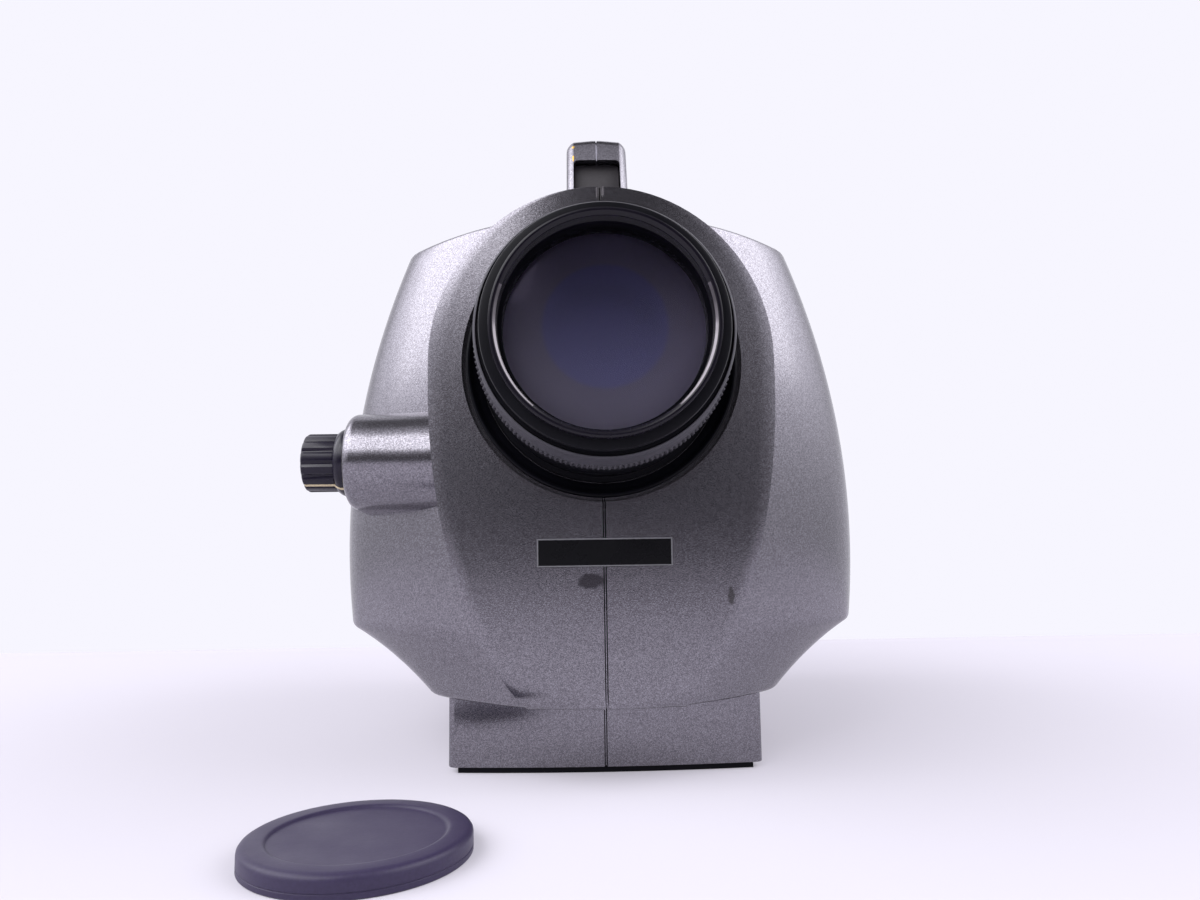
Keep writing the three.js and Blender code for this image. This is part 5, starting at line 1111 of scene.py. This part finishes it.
for x, z, radius, sides in (
    (inlet_x, low_z, 7.3, 64), (0, lens_z, 17.2, 96), (lever_x, lever_z, 2.3, 32),
):
    hole = round_bar(radius, (x, z), panel_inner_y - 2, panel_outer_y + 2, sides=sides)
    cut(panel, hole)
post_x = panel_half - ledge - 5
for x in (-post_x, post_x):
    for z in (57, 101):
        join(panel, round_bar(3, (x, z), 225, panel_inner_y + 1, sides=24))
panel_grey = coat("panel_dark_grey", (0.045, 0.043, 0.050), 0.5, 0.62, 1400, 0.00015)
paint_on(panel, panel_grey, "housing", "panel_plastic", "rear_panel", angle=25)

# The display window is a clear pane set flush in the panel, over a grey liquid-crystal field.
window = block(
    "display_window_pane", -window_half, window_half, panel_outer_y - 1.4, panel_outer_y,
    display_z - window_tall, display_z + window_tall,
)
rounded(window, 0.2, 1, 50)
window_glass = lens_glass("window_glass", (0.92, 0.95, 0.92), (1, 1, 1))
paint_on(window, window_glass, "housing", "clear_glass", "display_window")


def board_finish(name, colour):
    finish, surface, where = new_finish(name)
    tracks = add_node(finish, "TexBrick", {
        "Vector": where, "Scale": 160, "Color1": (*colour, 1),
        "Color2": (*[c * 1.3 for c in colour], 1), "Mortar": (*[c * 0.5 for c in colour], 1),
    })
    set_inputs(finish, surface, {"Base Color": tracks.outputs["Color"], "Roughness": 0.4})
    return finish


# The keys are light grey caps, slightly dished, that press in against their switches.
key_grey = coat("key_light_grey", (0.42, 0.41, 0.40), 0.45, 0.6, 1200, 0.00008)
for number, x in enumerate(key_places, start=1):
    key = block(f"key_cap_{number}", x - 7, x + 7, 245.2, 251.4, key_z - 4, key_z + 4)
    flange = block("flange", x - 8.2, x + 8.2, 245.2, 246.5, key_z - 5.2, key_z + 5.2)
    rounded(key, 0.7, 3, 50)
    join(key, flange)
    top_y = (251.2 - origin_y) * mm
    select_faces(key, lambda face: face.normal.y > 0.95 and face.center.y > top_y)
    bpy.ops.mesh.inset(thickness=1 * mm, depth=-0.25 * mm)
    mode("OBJECT")
    paint_on(key, key_grey, f"key_{number}", "key_plastic", f"key_{number}", angle=40)

# The power rocker is a bent glossy black key that tips on a pin across its middle.
tilt = math.radians(7)
rocker_side = []
for step in range(9):
    z = -8.6 + 17.2 * step / 8
    rocker_side.append((1.6 - 8.6 * math.tan(tilt) * (1 - (abs(z) / 8.6) ** 1.5), z))
rocker_side += [(-4.4, 6.9), (-4.4, -6.9)]
rocker_side = [
    (y * math.cos(tilt) - z * math.sin(tilt), y * math.sin(tilt) + z * math.cos(tilt))
    for y, z in rocker_side
]
rocker = lofted("power_rocker_key", [[
    place(rocker_x + x, panel_outer_y + y, low_z + z) for y, z in rocker_side
] for x in (-5.7, 5.7)])
rounded(rocker, 0.4, 2, 40)
paint_on(rocker, knob_black, "power_rocker", "black_plastic", "power_rocker")

# The DC inlet is a round black socket with its centre pin, and the data socket has a plated
# D-shaped shell round a black block with two rows of holes.
inlet = turned("dc_inlet_socket", [
    (0, 237.5), (7, 237.5), (7, 250), (9, 250), (9, 251.2), (8.7, 251.5),
    (3.9, 251.5), (3.4, 251.1), (3.4, 242.5), (1, 242.5), (1, 249.2), (0.7, 249.5), (0, 249.5),
], centre=(inlet_x, low_z), steps=64)
paint_on(inlet, knob_black, "housing", "black_plastic", "dc_inlet")


def d_shape(name, grow, near, far):
    half = 8.4
    tall = 4.2 + grow
    slant = 1
    radius = 1.6 + grow
    points = softened([
        (slant - half - grow, -tall, radius), (half - slant + grow, -tall, radius),
        (half + slant + grow, tall, radius), (-half - slant - grow, tall, radius),
    ], 4)
    return lofted(name, [
        [place(data_x + x, y, low_z + z) for x, z in points] for y in (near, far)
    ])


flange_y = panel_outer_y + 0.2
socket = block("data_socket_shell", data_x - 15.5, data_x + 15.5, flange_y, flange_y + 0.9,
               low_z - 6.3, low_z + 6.3)
rounded(socket, 0.3, 2, 50)
join(socket, block(
    "back", data_x - 9.5, data_x + 9.5, flange_y - 9, flange_y + 0.3, low_z - 5, low_z + 5
))
join(socket, d_shape("shell", 0, flange_y + 0.2, flange_y + 6.7))
cut(socket, d_shape("mouth", -0.6, flange_y + 1.9, flange_y + 8))
for side in (-12.5, 12.5):
    nut = round_bar(2.4, (data_x + side, low_z), flange_y + 0.5, flange_y + 4.5, sides=6)
    tap = round_bar(1.3, (data_x + side, low_z), flange_y + 2, flange_y + 6, sides=24)
    cut(nut, tap)
    join(socket, nut)
paint_on(socket, steel, "housing", "steel", "data_socket", angle=30)
pins = d_shape("data_socket_block", -0.8, flange_y + 1.7, flange_y + 5.9)
for row, count in ((1.42, 5), (-1.42, 4)):
    for index in range(count):
        x = data_x + (index - (count - 1) / 2) * 2.76
        pin_hole = round_bar(0.55, (x, low_z + row), flange_y + 3, flange_y + 8, sides=16)
        cut(pins, pin_hole)
paint_on(pins, knob_black, "housing", "black_plastic", angle=30)

# The eyepiece tube is black metal, flanged behind the panel, with the fluted dioptre ring, a
# rubber eyecup and the eyepiece lens.
eye_tube = turned("eyepiece_tube_turned", [
    (12.4, 238), (15.5, 238), (15.5, 243.6), (20, 243.6), (20, 246.6), (16.8, 246.6),
    (16.8, 250), (15.5, 250), (15.5, 269.4), (15.2, 269.8), (12.8, 269.8), (12.4, 269.4),
], steps=96)
paint_on(eye_tube, satin_black, "housing", "satin_black", "eyepiece_tube")
eye_lens = turned("eyepiece_lens_glass", [
    *arc(12.2, 258.8, -1.6, 6)[::-1], (12.2, 262.8), *arc(12.2, 262.8, 1.6, 6)[1:],
], steps=72)
eye_glass = lens_glass("eyepiece_glass", (0.85, 0.9, 0.95), (0.8, 1, 0.9))
paint_on(eye_lens, eye_glass, "eyepiece_lens", "clear_glass", "eyepiece_lens")
dioptre_rows = [
    (15.8, 250.3, 0), (19.6, 250.3, 0), (20.2, 250.7, 0), (20.4, 251.4, 1), (20.4, 258.6, 1),
    (20.2, 259.3, 0), (19.6, 259.7, 0), (15.8, 259.7, 0),
]
dioptre = lofted("dioptre_ring_fluted", ribbed_loops(dioptre_rows, 36, 0.6))
paint_on(dioptre, satin_black, "dioptre_ring", "satin_black", "dioptre_ring", angle=30)
eyecup = turned("eyecup_rubber", [
    (15.7, 260), (18, 260), (18.3, 260.3), (18.4, 262.5), (18.1, 263), (18.4, 263.6),
    (19.2, 266), (20.6, 270.5), (21.7, 274.6), (22, 275.5), (21.6, 276), (20.6, 276),
    (19.4, 275.6), (18.6, 273.5), (17.4, 270.4), (15.9, 269.9), (15.7, 269),
], steps=96)
paint_on(eyecup, rubber, "housing", "rubber", "eyecup")

# The eyepiece shutter is worked by a small lever on the panel; its shaft goes through to a
# blade that swings before the eyepiece.
lever_rings = []
for y, shrink in ((250.1, 0.2), (250.3, 0), (252.2, 0), (252.5, 0.3)):
    ring = []
    for end_x, radius, start in ((0, 3.4, 90), (15, 2.5, -90)):
        round_end = bend((lever_x + end_x, lever_z), radius - shrink, start, start + 180, 12)
        ring += [place(x, y, z) for x, z in round_end]
    lever_rings.append(ring)
lever = lofted("eyepiece_shutter_lever", lever_rings)
rest_angle = math.radians(45 + 180 - 60)
blade_x = lever_x + lever_distance * math.cos(rest_angle)
blade_z = lever_z + lever_distance * math.sin(rest_angle)
blade_front = 233.6
blade_back = 235
join(lever, round_bar(2, (lever_x, lever_z), 234, 251.2, sides=32))
join(lever, round_bar(3.4, (lever_x, lever_z), blade_front, blade_back, sides=32))
arm = block("arm", 0, lever_distance, blade_front, blade_back, -2.5, 2.5)
to_lever = Matrix.Translation(place(lever_x, origin_y, lever_z))
arm.data.transform(to_lever @ Matrix.Rotation(-rest_angle, 4, "Y"))
join(lever, arm)
join(lever, round_bar(13, (blade_x, blade_z), blade_front, blade_back, sides=64))
paint_on(lever, satin_black, "eyepiece_shutter", "satin_black", "eyepiece_shutter")

# Inside are the optical bench, the spectrometer, the gears and the boards. They keep the CAD
# shapes and get the finishes of cast, anodised and turned metal, glass and circuit board.
aluminium = bare_metal("cast_aluminium", (0.50, 0.51, 0.53), 0.4, 0.55)
anodised = coat("black_anodised", (0.020, 0.019, 0.022), 0.5, 0.65)
brass = bare_metal("machined_brass", (0.55, 0.40, 0.16), 0.25, 0.4)
silvered = bare_metal("silvered_glass", (0.85, 0.86, 0.88), 0.02, 0.06)
clear_block = lens_glass("clear_block", (0.9, 0.95, 1), (1, 1, 1))
board_green = board_finish("board_green", (0.020, 0.110, 0.050))
inner_finishes = {
    aluminium: ["chassis", "detector_cooler"],
    anodised: ["field_turret", "turret_bracket", "splitter_pedestal", "mirror_bracket",
               "spectrometer_case", "spectrometer_cover", "finder_tube"],
    brass: ["knob_bush", "drive_gear"],
    silvered: ["fold_mirror", "grating"],
    clear_block: ["beam_splitter"],
    steel: ["detent_wheel", "knob_shaft", "turret_spindle", "shutter_motor", "slit_plate"],
    board_green: ["detector_board", "power_board", "main_board", "display_board"],
    satin_black: ["dark_shutter"],
    knob_black: ["detector_array"],
}
for finish, names in inner_finishes.items():
    for name in names:
        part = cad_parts[name]
        part.data.materials.clear()
        part.data.materials.append(finish)
